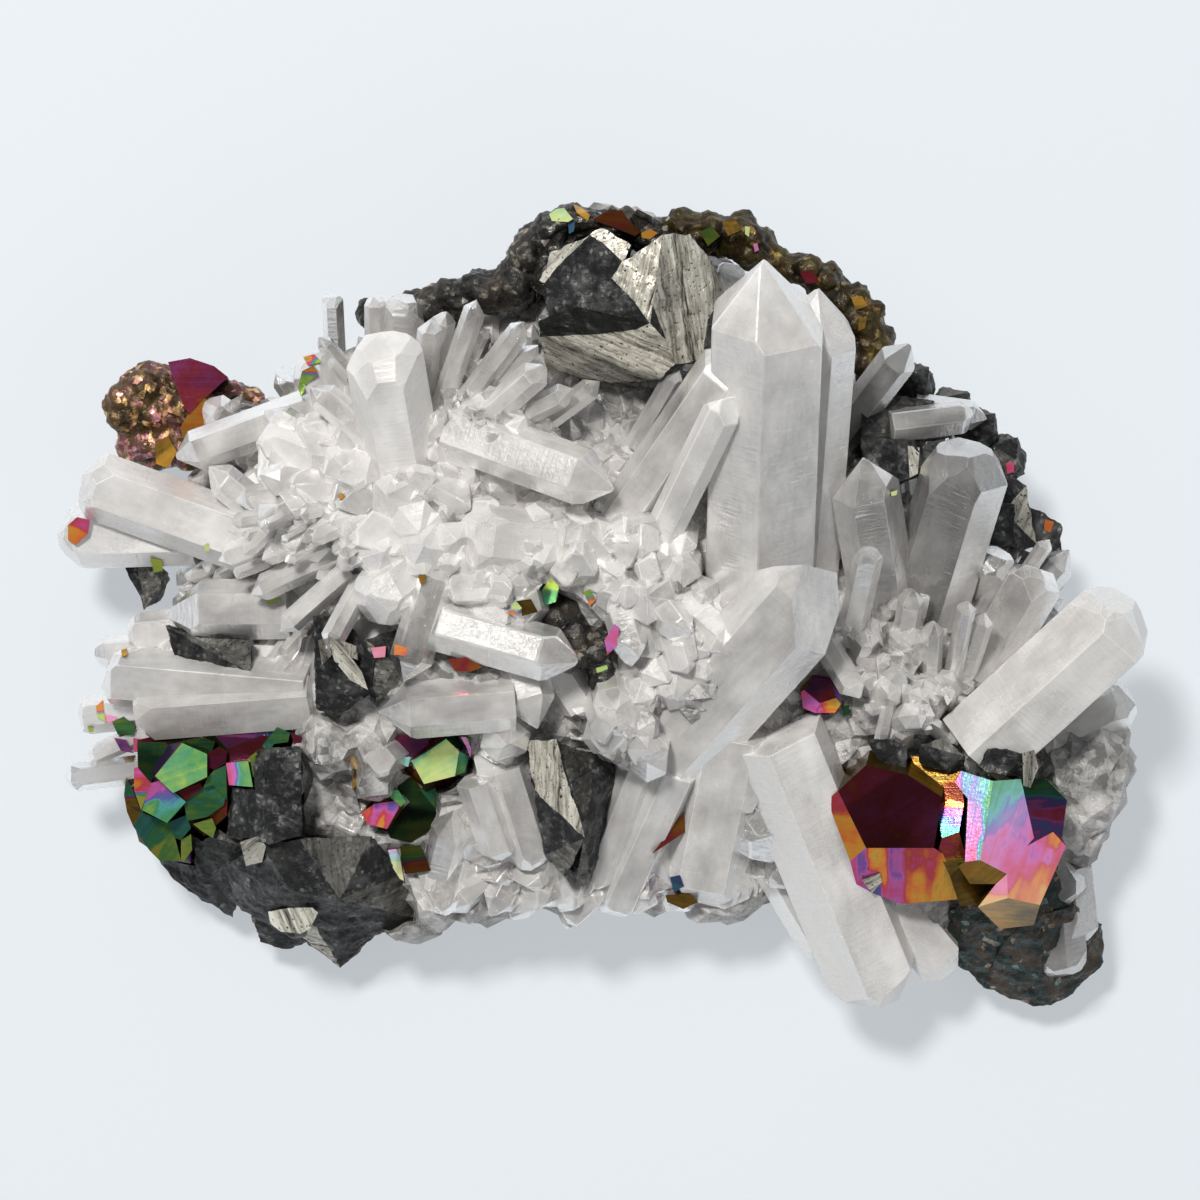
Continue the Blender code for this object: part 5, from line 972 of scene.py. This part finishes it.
def add_lump(bm, u, v, z, *radii):
    where = Matrix.Translation(seen_at(u, v, z)) @ Matrix.Diagonal((*radii, 1))
    bmesh.ops.create_icosphere(bm, subdivisions=3, radius=1.0, matrix=where)


def tree_of(pieces):
    """A search tree, in millimetres, of all the faces of some objects."""
    bm = bmesh.new()
    for piece in pieces:
        bm.from_mesh(piece.data)
    resized(bm, 1 / MM)
    tree = BVHTree.FromBMesh(bm)
    bm.free()
    return tree


class Gather:
    """Forms in millimetres, gathered into one object with values at its points and corners."""

    def __init__(self):
        self.places = []
        self.faces = []
        self.points = {}
        self.corners = {}

    def add(self, bm, where=Matrix(), points=None, corners=None):
        """points and corners name the values: each a call on a vertex, or on a face."""
        start = len(self.places)
        bm.verts.index_update()
        self.places.extend(where @ v.co for v in bm.verts)
        for name, value in (points or {}).items():
            self.points.setdefault(name, []).extend(value(v) for v in bm.verts)
        for face in bm.faces:
            self.faces.append([start + v.index for v in face.verts])
            for name, value in (corners or {}).items():
                self.corners.setdefault(name, []).extend([value(face)] * len(face.verts))
        bm.free()

    def object(self, name, material):
        """One object of all that was gathered, which stands for the quartz."""
        mesh = bpy.data.meshes.new(name)
        mesh.from_pydata([p * MM for p in self.places], [], self.faces)
        for domain, table in (("POINT", self.points), ("CORNER", self.corners)):
            for key, rows in table.items():
                vector = isinstance(rows[0], Vector)
                layer = mesh.attributes.new(key, "FLOAT_VECTOR" if vector else "FLOAT", domain)
                flat = [c for row in rows for c in row] if vector else rows
                layer.data.foreach_set("vector" if vector else "value", flat)
        return shown(name, mesh, material, ("quartz_druse",))


def carve(planes, reach):
    """The convex form inside all the planes, each a normal and a point, cut from a block."""
    bm = bmesh.new()
    bmesh.ops.create_cube(bm, size=2 * reach)
    for normal, point in planes:
        everything = bm.verts[:] + bm.edges[:] + bm.faces[:]
        cut = bmesh.ops.bisect_plane(
            bm, geom=everything, dist=1e-6, plane_co=point, plane_no=normal, clear_outer=True
        )
        edges = [e for e in cut["geom_cut"] if isinstance(e, bmesh.types.BMEdge)]
        if edges:
            bmesh.ops.contextual_create(bm, geom=edges)
    bmesh.ops.recalc_face_normals(bm, faces=bm.faces)
    return bm


def turned(angle, side, rise):
    """A direction at this angle about Z, with its parts across Z and along it."""
    return Vector((side * math.cos(angle), side * math.sin(angle), rise))


def tip_planes(height, width, end, roll, draw, sign=1):
    """The faces at a crystal's tip: six sloping ones, and for a worn end some more."""
    tip = Vector((draw.uniform(-0.08, 0.08) * width, draw.uniform(-0.08, 0.08) * width, height))
    planes = []
    for i in range(6):
        normal = turned(math.radians(60 * i + roll), math.sin(TIP_TILT), sign * math.cos(TIP_TILT))
        back = draw.uniform(-0.05, 0.03)
        if end == "chisel":
            back = 0.0 if i % 3 == 0 else -0.2
        planes.append((normal, tip - normal * (back * width)))
    if end == "blunt":
        planes = [(normal, place + normal * (WORN_OUT * width)) for normal, place in planes]
        heart = Vector((0, 0, height - sign * WORN_HEART * width))
        planes += worn_planes(heart, width, draw, sign)
    return planes


def worn_planes(heart, width, draw, sign):
    """Small faces round the heart of a worn tip."""
    planes = []
    for count, lifts, reaches in WORN_FACES:
        for _ in range(count):
            lift, reach = draw.uniform(*lifts), draw.uniform(*reaches)
            normal = turned(draw.uniform(0, 2 * math.pi), math.sqrt(1 - lift * lift), sign * lift)
            planes.append((normal, heart + normal * (reach * width)))
    return planes


def crystal_form(length, width, end, roll, draw):
    """A quartz crystal that stands on the origin along +Z, with unequal faces and worn edges."""
    planes = []
    for i in range(6):
        normal = turned(math.radians(60 * i + roll), 1, 0)
        planes.append((normal, normal * (width * draw.uniform(*SIDE_REACH))))
    planes += tip_planes(length, width, "point" if end == "both" else end, roll, draw)
    if end == "both":
        planes += tip_planes(0, width, "point", roll, draw, -1)
    else:
        planes.append((Vector((0, 0, -1)), Vector((0, 0, 0))))
    bm = carve(planes, length + width)
    bmesh.ops.bevel(
        bm, geom=bm.edges[:], offset=min(EDGE_MOST, EDGE_SHARE * width), segments=1, affect="EDGES",
        profile=0.5, clamp_overlap=True, material=1,
    )
    return bm


def standing(foot, along, flat):
    """The matrix that stands a form's +Z along a direction, from a foot."""
    along = along.normalized()
    side = along.cross(Vector((0, 0, 1)))
    if side.length < 1e-4:
        side = Vector((1, 0, 0))
    side.normalize()
    up = side.cross(along)
    turn = Matrix((side, up * flat, along)).transposed().to_4x4()
    turn.translation = foot
    return turn


def grow(into, crystal):
    """Adds one crystal, whose foot and tip are true places."""
    draw = random.Random(crystal.name)
    along = crystal.tip - crystal.foot
    length = along.length
    bm = crystal_form(length, crystal.width, crystal.end, crystal.roll + 30, draw)
    spot = Vector([draw.uniform(0, 500) for _ in range(3)])
    at_foot, at_tip = crystal.clear
    tones = {}
    into.add(
        bm, standing(crystal.foot, along, crystal.flat),
        points={
            "spot": lambda v: v.co + spot,
            "clear": lambda v: at_foot + (at_tip - at_foot) * min(1.0, max(0.0, v.co.z / length)),
        },
        corners={
            "tone": lambda f: tones.setdefault(f.index, draw.uniform(-1, 1)),
            # Bevel faces are marked for the painted highlight along the edges.
            "edge": lambda f: float(f.material_index),
            "smoke": lambda f: float(crystal.smoke),
        },
    )


def bed_form():
    """The milky mass that the crystals grow from: the dome and its lumps."""
    bm = bmesh.new()
    for lump in QUARTZ_LUMPS:
        add_lump(bm, *lump)
    rings = []
    for z, scale in DOME_LEVELS:
        ring = []
        for u, v in RIM:
            plan = seen_at(u, v, z)
            spoke = Vector((plan.x, plan.y, 0))
            reach = noise.noise(Vector((u * 0.21, v * 0.21, z * 0.35))) * DOME_ROUGHNESS
            ring.append(bm.verts.new(spoke.normalized() * (spoke.length * scale + reach) + Vector((0, 0, z))))
        rings.append(ring)
    count = len(RIM)
    for low, high in zip(rings, rings[1:]):
        for i in range(count):
            j = (i + 1) % count
            bm.faces.new((low[j], low[i], high[i], high[j]))
    bm.faces.new(rings[0])
    crown = bm.verts.new((0, 0, DOME_TOP))
    for i in range(count):
        bm.faces.new((rings[-1][(i + 1) % count], rings[-1][i], crown))
    bmesh.ops.recalc_face_normals(bm, faces=bm.faces)
    return bm


def bed_relief(p):
    """Rubble of the milky mass, in millimetres."""
    return noise.noise(p * 0.4) * 1.1 + noise.noise(p * 1.1) * 0.6


def cleared(bm, metals, gap=0.5, most=5.0, lowest=8):
    """Sinks the points that hide a metallic face just under them, along the line of sight."""
    for v in bm.verts:
        sight = (v.co - EYE).normalized()
        place, _, _, reach = metals.ray_cast(EYE, sight)
        if place is not None and 0 < reach - (v.co - EYE).length < most and place.z > lowest:
            v.co = place + sight * gap
    return bm


def hides(tree, place, near=3.0, lowest=7):
    """Whether a place stands before a metallic face for the eye, or just behind one."""
    hit, _, _, reach = tree.ray_cast(EYE, (place - EYE).normalized())
    return hit is not None and reach > (place - EYE).length - near and hit.z > lowest


def scatter(into, patch, number, bed_tree, metals):
    """Small crystals grown from the milky mass over one patch of it."""
    draw = random.Random(f"patch {number}")
    heart = seen_at(*patch.heart)
    for k in range(patch.count):
        a, r = draw.uniform(0, 2 * math.pi), math.sqrt(draw.random())
        u = patch.middle[0] + patch.half[0] * r * math.cos(a)
        v = patch.middle[1] + patch.half[1] * r * math.sin(a)
        place = bed_tree.ray_cast(*eye_ray(u, v))[0]
        along = Vector([draw.gauss(0, patch.spread) for _ in range(3)])
        length, width = draw.uniform(*patch.length), draw.uniform(*patch.width)
        clear, smoke = draw.uniform(*patch.clear), draw.uniform(0.0, patch.smoke)
        end, roll = draw.choice(("point", "point", "chisel")), draw.uniform(0, 60)
        if place is None or place.z < LOWEST_FOOT:
            continue
        along += (place - heart).normalized()
        along.z = max(along.z, -0.1)
        along.normalize()
        foot = place - along * (patch.sunk * length)
        tip = foot + along * length
        if has_room(place, foot, tip, along, width, metals):
            clears = (clear, min(0.95, clear + 0.15))
            grow(into, Crystal(f"patch {number} {k}", foot, tip, width, end, roll, clears, smoke))


def has_room(place, foot, tip, along, width, metals):
    """Whether a small crystal stays off the metallic faces and within the specimen's reach."""
    beside = along.cross(Vector((0, 0, 1))).normalized() * (0.5 * width)
    spots = [foot.lerp(tip, share) + side for share in (0.4, 0.7, 1.0) for side in (beside, -beside)]
    if any(hides(metals, spot) for spot in spots + [tip, place]):
        return False
    inside = all(abs(c) + 0.4 * width <= half for c, half in zip(tip, HALF_ROOM))
    return inside and tip.z >= LOWEST_TIP


def facets_of(node, together=math.radians(1.2)):
    """A solid's mesh in millimetres, and the layer that keeps each face's facet number."""
    bm = bmesh.new()
    bm.from_mesh(node.data)
    resized(bm, 1 / MM)
    bmesh.ops.remove_doubles(bm, verts=bm.verts, dist=0.002)
    bmesh.ops.dissolve_limit(bm, angle_limit=together, verts=bm.verts, edges=bm.edges)
    layer = bm.faces.layers.int.new("facet")
    for i, face in enumerate(bm.faces):
        face[layer] = i
    return bm, layer


def told_facets(bm, layer, hints):
    """For each facet that a hint's sight line meets, what is said there and the striations' turn."""
    tree = BVHTree.FromBMesh(bm)
    bm.faces.ensure_lookup_table()
    told = {}
    for u, v, film, shade, turn in hints:
        index = tree.ray_cast(*eye_ray(u, v))[2]
        if index is not None:
            rows, _ = told.setdefault(bm.faces[index][layer], ([], turn))
            rows.append((u, v, film, shade))
    return told


def blended(place, rows, turn, sharp=3.0, stretch=0.35):
    """Film and painted light at a true place, between the plan places where they are told.

    What is told reaches farther along the striations, which run at the angle turn in plan.
    """
    u, v = plan_of(place)
    c, d = math.cos(math.radians(turn)), math.sin(math.radians(turn))
    weights = []
    for row in rows:
        du, dv = u - row[0], v - row[1]
        along, across = (du * c + dv * d) * stretch, dv * c - du * d
        weights.append(1 / (along * along + across * across + 0.03) ** sharp)
    total = sum(weights)
    return [sum(w * row[k] for w, row in zip(weights, rows)) / total for k in (2, 3)]


def fitted_plane(points):
    """The plane of height a + b x + c y that fits the points best, as (a, b, c)."""
    n = len(points)
    mx, my, mz = (sum(p[i] for p in points) / n for i in range(3))
    xx = sum((p[0] - mx) ** 2 for p in points)
    yy = sum((p[1] - my) ** 2 for p in points)
    xy = sum((p[0] - mx) * (p[1] - my) for p in points)
    xz = sum((p[0] - mx) * (p[2] - mz) for p in points)
    yz = sum((p[1] - my) * (p[2] - mz) for p in points)
    det = xx * yy - xy * xy
    b = (xz * yy - yz * xy) / det
    c = (yz * xx - xz * xy) / det
    return mz - b * mx - c * my, b, c


def flattened(corners, facets, rounds=150):
    """The corners with their heights moved until each facet is flat."""
    corners = [list(c) for c in corners]
    for _ in range(rounds):
        wanted = {}
        for indices, *_ in facets:
            if len(indices) > 3:
                a, b, c = fitted_plane([corners[i] for i in indices])
                for i in indices:
                    wanted.setdefault(i, []).append(a + b * corners[i][0] + c * corners[i][1])
        for i, heights in wanted.items():
            corners[i][2] += 0.8 * (sum(heights) / len(heights) - corners[i][2])
    return corners


class Metal:
    """A metallic mineral in the making: a mesh whose faces know their facet, and what is told of it."""

    def __init__(self):
        self.bm = bmesh.new()
        self.layer = self.bm.faces.layers.int.new("facet")
        self.told = {}
        self.count = 0

    def verts(self, places):
        return [self.bm.verts.new(seen_at(*place)) for place in places]

    def face(self, verts, looks=None, turn=0):
        self.bm.faces.new(verts)[self.layer] = self.count
        if looks:
            self.told[self.count] = (looks, turn)
        self.count += 1

    def closed(self, floor):
        """Walls down from the open edges of what was last drawn, and a bottom."""
        border = [e for e in self.bm.edges if len(e.link_faces) == 1]
        if not border:
            return
        rim = list(dict.fromkeys(v for e in border for v in e.verts))
        heart = sum((v.co for v in rim), Vector()) / len(rim)
        below = {v: self.bm.verts.new((*(heart + (v.co - heart) * WALL_TAPER).xy, floor)) for v in rim}
        for edge in border:
            a, b = edge.verts
            self.face((a, b, below[b], below[a]))
        base = [e for e in self.bm.edges if len(e.link_faces) == 1]
        for bottom in bmesh.ops.contextual_create(self.bm, geom=base)["faces"]:
            bottom[self.layer] = self.count
            self.count += 1

    def draw_form(self, form):
        verts = self.verts(flattened(form.corners, form.facets))
        for indices, looks, turn in form.facets:
            self.face([verts[i] for i in indices], looks, turn)
        self.closed(form.floor)

    def draw_facet(self, facet):
        u0, v0 = middle_of(facet.corners)
        heights = [facet.z + (u - u0) * facet.rise[0] + (v - v0) * facet.rise[1] for u, v in facet.corners]
        self.face(self.verts((*c, z) for c, z in zip(facet.corners, heights)), facet.looks, facet.turn)
        self.closed(max(LOWEST_WALL, min(heights) - WALL_DEPTH))

    def draw_accent(self, tops, feet, looks, turn):
        """A small crystal from its top corners down to its feet, which stand in what carries it."""
        high, low = self.verts(tops), self.verts(feet)
        self.face(high, looks, turn)
        for i in range(len(high)):
            j = (i + 1) % len(high)
            self.face((high[j], high[i], low[i], low[j]))
        self.face(low[::-1])

    def take(self, bm, layer, drop=0.0):
        """Adds a mesh whose faces already know their facet, each with a new number, lowered by drop."""
        numbers, verts = {}, {}
        for face in bm.faces:
            number = numbers.setdefault(face[layer], self.count + len(numbers))
            corners = []
            for v in face.verts:
                if v not in verts:
                    verts[v] = self.bm.verts.new(v.co - Vector((0, 0, drop)))
                corners.append(verts[v])
            self.bm.faces.new(corners)[self.layer] = number
        self.count += len(numbers)
        bm.free()

    def refine(self, fine):
        bm = self.bm
        bmesh.ops.recalc_face_normals(bm, faces=bm.faces)
        bmesh.ops.triangulate(bm, faces=bm.faces)
        for _ in range(6):
            long = [e for e in bm.edges if e.calc_length() > fine]
            if not long:
                break
            bmesh.ops.subdivide_edges(bm, edges=long, cuts=1, use_grid_fill=True)
            bmesh.ops.triangulate(bm, faces=bm.faces)

    def normals(self):
        """The mean direction of each facet."""
        found = {}
        for face in self.bm.faces:
            facet = face[self.layer]
            found[facet] = found.get(facet, Vector()) + face.normal * face.calc_area()
        return {facet: normal.normalized() for facet, normal in found.items()}

    def corner_values(self, name, invent):
        """Film and painted light at each corner of each face, and its place across and along the striations.
        """
        normals, plain = self.normals(), {}
        rows = {"film": [], "shade": [], "lines": [], "across": []}
        for face in self.bm.faces:
            facet = face[self.layer]
            normal = normals[facet]
            if facet not in plain:
                plain[facet] = invent(random.Random(f"{name} {facet}"))
            looks, turn = self.told.get(facet, (None, plain[facet][2]))
            angle = math.radians(turn)
            across = normal.cross(Vector((math.cos(angle), math.sin(angle), 0.001))).normalized()
            along = across.cross(normal)
            for v in face.verts:
                film, shade = blended(v.co, looks, turn) if looks else plain[facet][:2]
                values = (film, shade, v.co.dot(across) + 7.3 * facet, v.co.dot(along))
                for row, value in zip(rows.values(), values):
                    row.append(value)
        return rows

    def finish(self, name, material, nodes, invent, hints=(), relief=None):
        """The object, with film, painted light and striation values at its corners."""
        bm, layer = self.bm, self.layer
        bm.normal_update()
        self.told = {**told_facets(bm, layer, hints), **self.told}
        rows = self.corner_values(name, invent)
        sharp = [len({f[layer] for f in e.link_faces}) > 1 for e in bm.edges]
        if relief:
            roughened(bm, relief)
        resized(bm, MM)
        mesh = mesh_of(bm, name)
        for key, values in rows.items():
            mesh.attributes.new(key, "FLOAT", "CORNER").data.foreach_set("value", values)
        mesh.shade_smooth()
        mesh.attributes.new("sharp_edge", "BOOLEAN", "EDGE").data.foreach_set("value", sharp)
        return shown(name, mesh, material, nodes)


def invent_pyrite(draw):
    """Film, painted light and striation angle of a facet that no hint names: its painted light is low, a
    painted shade.
    """
    film = draw.choice(FILMS) + draw.uniform(-0.03, 0.03)
    return film, draw.uniform(0.06, 0.30), draw.choice((0, 90, 35))


def invent_sulfide(draw):
    """The same for the sulfide, where the film value says how bright the facet is painted, a painted
    highlight where high and a painted shade below 0, and how striated it is.
    """
    return draw.choice(SHINES), draw.uniform(0.8, 1.2), draw.uniform(0, 180)


def sulfide_relief(p):
    return noise.noise(p * 0.7) * 0.28 + noise.noise(p * 2.2) * 0.16


def knob_relief(p):
    """Rounded knobs, as on a crust that grew from many points."""
    near = noise.voronoi(p * 0.36)[0][0]
    small = noise.voronoi(p * 1.15)[0][0]
    swell = noise.noise(p * 0.2) * 0.9 - 0.10
    return (0.42 - near) * 1.35 + (0.4 - small) * 0.42 + swell + noise.noise(p * 3.0) * 0.10


def knobbly(name, lumps, material, nodes):
    """A piece of crust: its lumps melted into one and covered with knobs."""
    bm = bmesh.new()
    for lump in lumps:
        add_lump(bm, *lump)
    bm = roughened(melted(bm, CRUST_CELL), knob_relief)
    resized(bm, MM)
    mesh = mesh_of(bm, name)
    mesh.shade_smooth()
    return shown(name, mesh, material, nodes)


def ground(tree, u, v):
    """Height of what the eye meets at a plan place, or None."""
    place = tree.ray_cast(*eye_ray(u, v))[0]
    return place.z if place and place.z > LOWEST_GROUND else None


def seated(tree, corners, most):
    """Top and foot (u, v, z) of each corner of a small face that stands on what is under it.

    Where something is missing under a corner, the face moves inward a little at a time.
    Nothing comes back where there is no good ground within reach.
    """
    for k in range(INWARD_TRIES):
        middle = middle_of(corners)
        away = Vector(middle).normalized() * (INWARD_STEP * k)
        moved = [(u - away.x, v - away.y) for u, v in corners]
        mu, mv = middle[0] - away.x, middle[1] - away.y
        inner = [((u + mu) / 2, (v + mv) / 2) for u, v in moved] + [(mu, mv)]
        points = [(u, v, ground(tree, u, v)) for u, v in moved + inner]
        if any(z is None for _, _, z in points):
            continue
        b, c = (max(-STEEPEST, min(STEEPEST, slope)) for slope in fitted_plane(points)[1:])
        if abs(b - GLARE[0]) < GLARE_NEAR and abs(c - GLARE[1]) < GLARE_NEAR:
            c += GLARE_TURN
        level = max(z - b * (u - mu) - c * (v - mv) for u, v, z in points)
        tops = [(u, v, level + b * (u - mu) + c * (v - mv) + ACCENT_LIFT) for u, v in moved]
        feet = [
            (mu + (u - mu) * ACCENT_TAPER, mv + (v - mv) * ACCENT_TAPER, z - ACCENT_ROOT)
            for u, v, z in points[:len(moved)]
        ]
        if max(top[2] - foot[2] for top, foot in zip(tops, feet)) < most:
            return tops, feet
    return None


def accents(name, rows, tree, material, slot, invent, most):
    """Small crystals (corners, looks, turn) that no node stands for, each seated on its carrier."""
    metal = Metal()
    for corners, looks, turn in rows:
        seat = seated(tree, corners, most)
        if seat:
            metal.draw_accent(*seat, looks, turn)
    metal.refine(ACCENT_MESH)
    metal.finish(name, material, (), invent)


def within(node, facet, room=1.0):
    """Whether a drawn facet lies at its own node, give or take a little room in millimetres."""
    low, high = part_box(node)
    place = seen_at(*middle_of(facet.corners), facet.z)
    return all(low[i] / MM - room < place[i] < high[i] / MM + room for i in (0, 1))


def pyrite_pieces(nodes, material):
    """The drawn pyrite crystals, and the facets that lie apart from their own nodes."""
    pieces, apart = [], []
    for name, (forms, facets, on_body) in PYRITE_DRAWN.items():
        metal = Metal()
        for form in forms:
            metal.draw_form(form)
        for facet in facets:
            if within(name, facet):
                metal.draw_facet(facet)
            else:
                apart.append((facet.corners, facet.looks, facet.turn))
        if on_body:
            metal.take(*facets_of(nodes[name]), drop=BODY_DROP)
        metal.refine(PYRITE_MESH)
        pieces.append(metal.finish(f"{name}_look", material, (name,), invent_pyrite))
    return pieces, apart


def sulfide_piece(name, node, material):
    metal = Metal()
    if name == "sulfide_top":
        for form in TOP_FORMS:
            metal.draw_form(form)
    else:
        metal.take(*facets_of(node))
    metal.refine(SULFIDE_MESH)
    return metal.finish(
        f"{name}_look", material, (name,), invent_sulfide, SULFIDE_HINTS, sulfide_relief
    )


def quartz_pieces(metal_tree):
    """The large crystals, the mass that they grow from, and the small crystals on it."""
    quartz = quartz_material()
    large, mass, small = Gather(), Gather(), Gather()
    for crystal in (Crystal(*row) for row in QUARTZ_CRYSTALS):
        grow(large, crystal._replace(foot=seen_at(*crystal.foot), tip=seen_at(*crystal.tip)))
    bed = cleared(roughened(melted(bed_form(), BED_CELL), bed_relief), metal_tree)
    bed_tree = BVHTree.FromBMesh(bed)
    # with only this share of its faces the mass looks broken rather than worn
    mass.add(modified(bed, "DECIMATE", ratio=BED_KEPT), points={"spot": lambda v: v.co.copy()})
    for number, patch in enumerate(PATCHES):
        scatter(small, patch, number, bed_tree, metal_tree)
    return [
        large.object("quartz_large", quartz), mass.object("quartz_bed", bed_material()),
        small.object("quartz_small", quartz),
    ]


def light(name, place, size, power, colour=(1, 1, 1)):
    """A square lamp that shines at the specimen."""
    lamp = bpy.data.lights.new(name, "AREA")
    lamp.size = size
    lamp.energy = power
    lamp.color = colour
    thing = placed(name, lamp)
    thing.location = place
    thing.rotation_euler = (Vector((0, 0, 0.02)) - Vector(place)).to_track_quat("-Z", "Y").to_euler()


def camera_and_lights():
    camera = placed("camera", bpy.data.cameras.new("camera"))
    camera.data.lens = LENS
    camera.data.sensor_width = SENSOR
    camera.data.clip_start = 0.01
    camera.location = EYE * MM
    bpy.context.scene.camera = camera
    light("key", (-0.22, 0.36, 0.85), 0.14, 7.6, (1.0, 0.985, 0.96))
    light("fill", (0.5, -0.5, 0.7), 0.6, 1.0)
    view = bpy.context.scene.view_settings
    view.view_transform = "Standard"
    view.look = "None"
    world = bpy.data.worlds.new("studio")
    bpy.context.scene.world = world
    world.use_nodes = True
    world.node_tree.nodes["Background"].inputs[0].default_value = (0.80, 0.84, 0.87, 1)
    world.node_tree.nodes["Background"].inputs[1].default_value = 0.34


def lay_floor():
    bm = bmesh.new()
    bmesh.ops.create_grid(bm, x_segments=1, y_segments=1, size=3.0)
    floor = placed("floor", mesh_of(bm, "floor"))
    floor.data.materials.append(floor_material())


def dress(frame):
    """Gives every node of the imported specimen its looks."""
    nodes = frame["nodes"]
    pyrite, sulfide = pyrite_material(), sulfide_material()
    crusts = {name: crust_material(name, *look) for name, look in CRUST_LOOKS.items()}
    metals, apart = pyrite_pieces(nodes, pyrite)
    for name, node in nodes.items():
        if name.startswith("sulfide"):
            look = crusts["tinted"] if name == "sulfide_lower_right" else sulfide
            metals.append(sulfide_piece(name, node, look))
    for name, (lumps, look, slot, stands_for) in CRUSTS.items():
        metals.append(knobbly(name, lumps, crusts[look], stands_for))
    everything = tree_of(metals + quartz_pieces(tree_of(metals)))
    bits = apart + [(corners, looks, 0) for corners, looks in BITS]
    accents("pyrite_accents", bits, everything, pyrite, "iridescent_pyrite", invent_pyrite, PYRITE_FALL)
    painted_brights = (SULFIDE_PAINTED_BRIGHT, everything, sulfide)
    accents("sulfide_accents", *painted_brights, "dark_sulfide", invent_sulfide, SULFIDE_FALL)
    nodes["vein_rock"].data.materials.clear()
    nodes["vein_rock"].data.materials.append(rock_material())


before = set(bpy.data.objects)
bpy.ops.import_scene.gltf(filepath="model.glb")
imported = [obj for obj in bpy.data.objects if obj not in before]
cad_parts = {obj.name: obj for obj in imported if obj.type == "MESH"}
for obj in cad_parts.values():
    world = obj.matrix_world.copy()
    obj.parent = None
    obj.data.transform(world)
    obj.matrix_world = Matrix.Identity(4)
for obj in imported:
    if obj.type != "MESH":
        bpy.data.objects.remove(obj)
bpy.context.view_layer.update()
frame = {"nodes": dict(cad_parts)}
camera_and_lights()
lay_floor()
dress(frame)
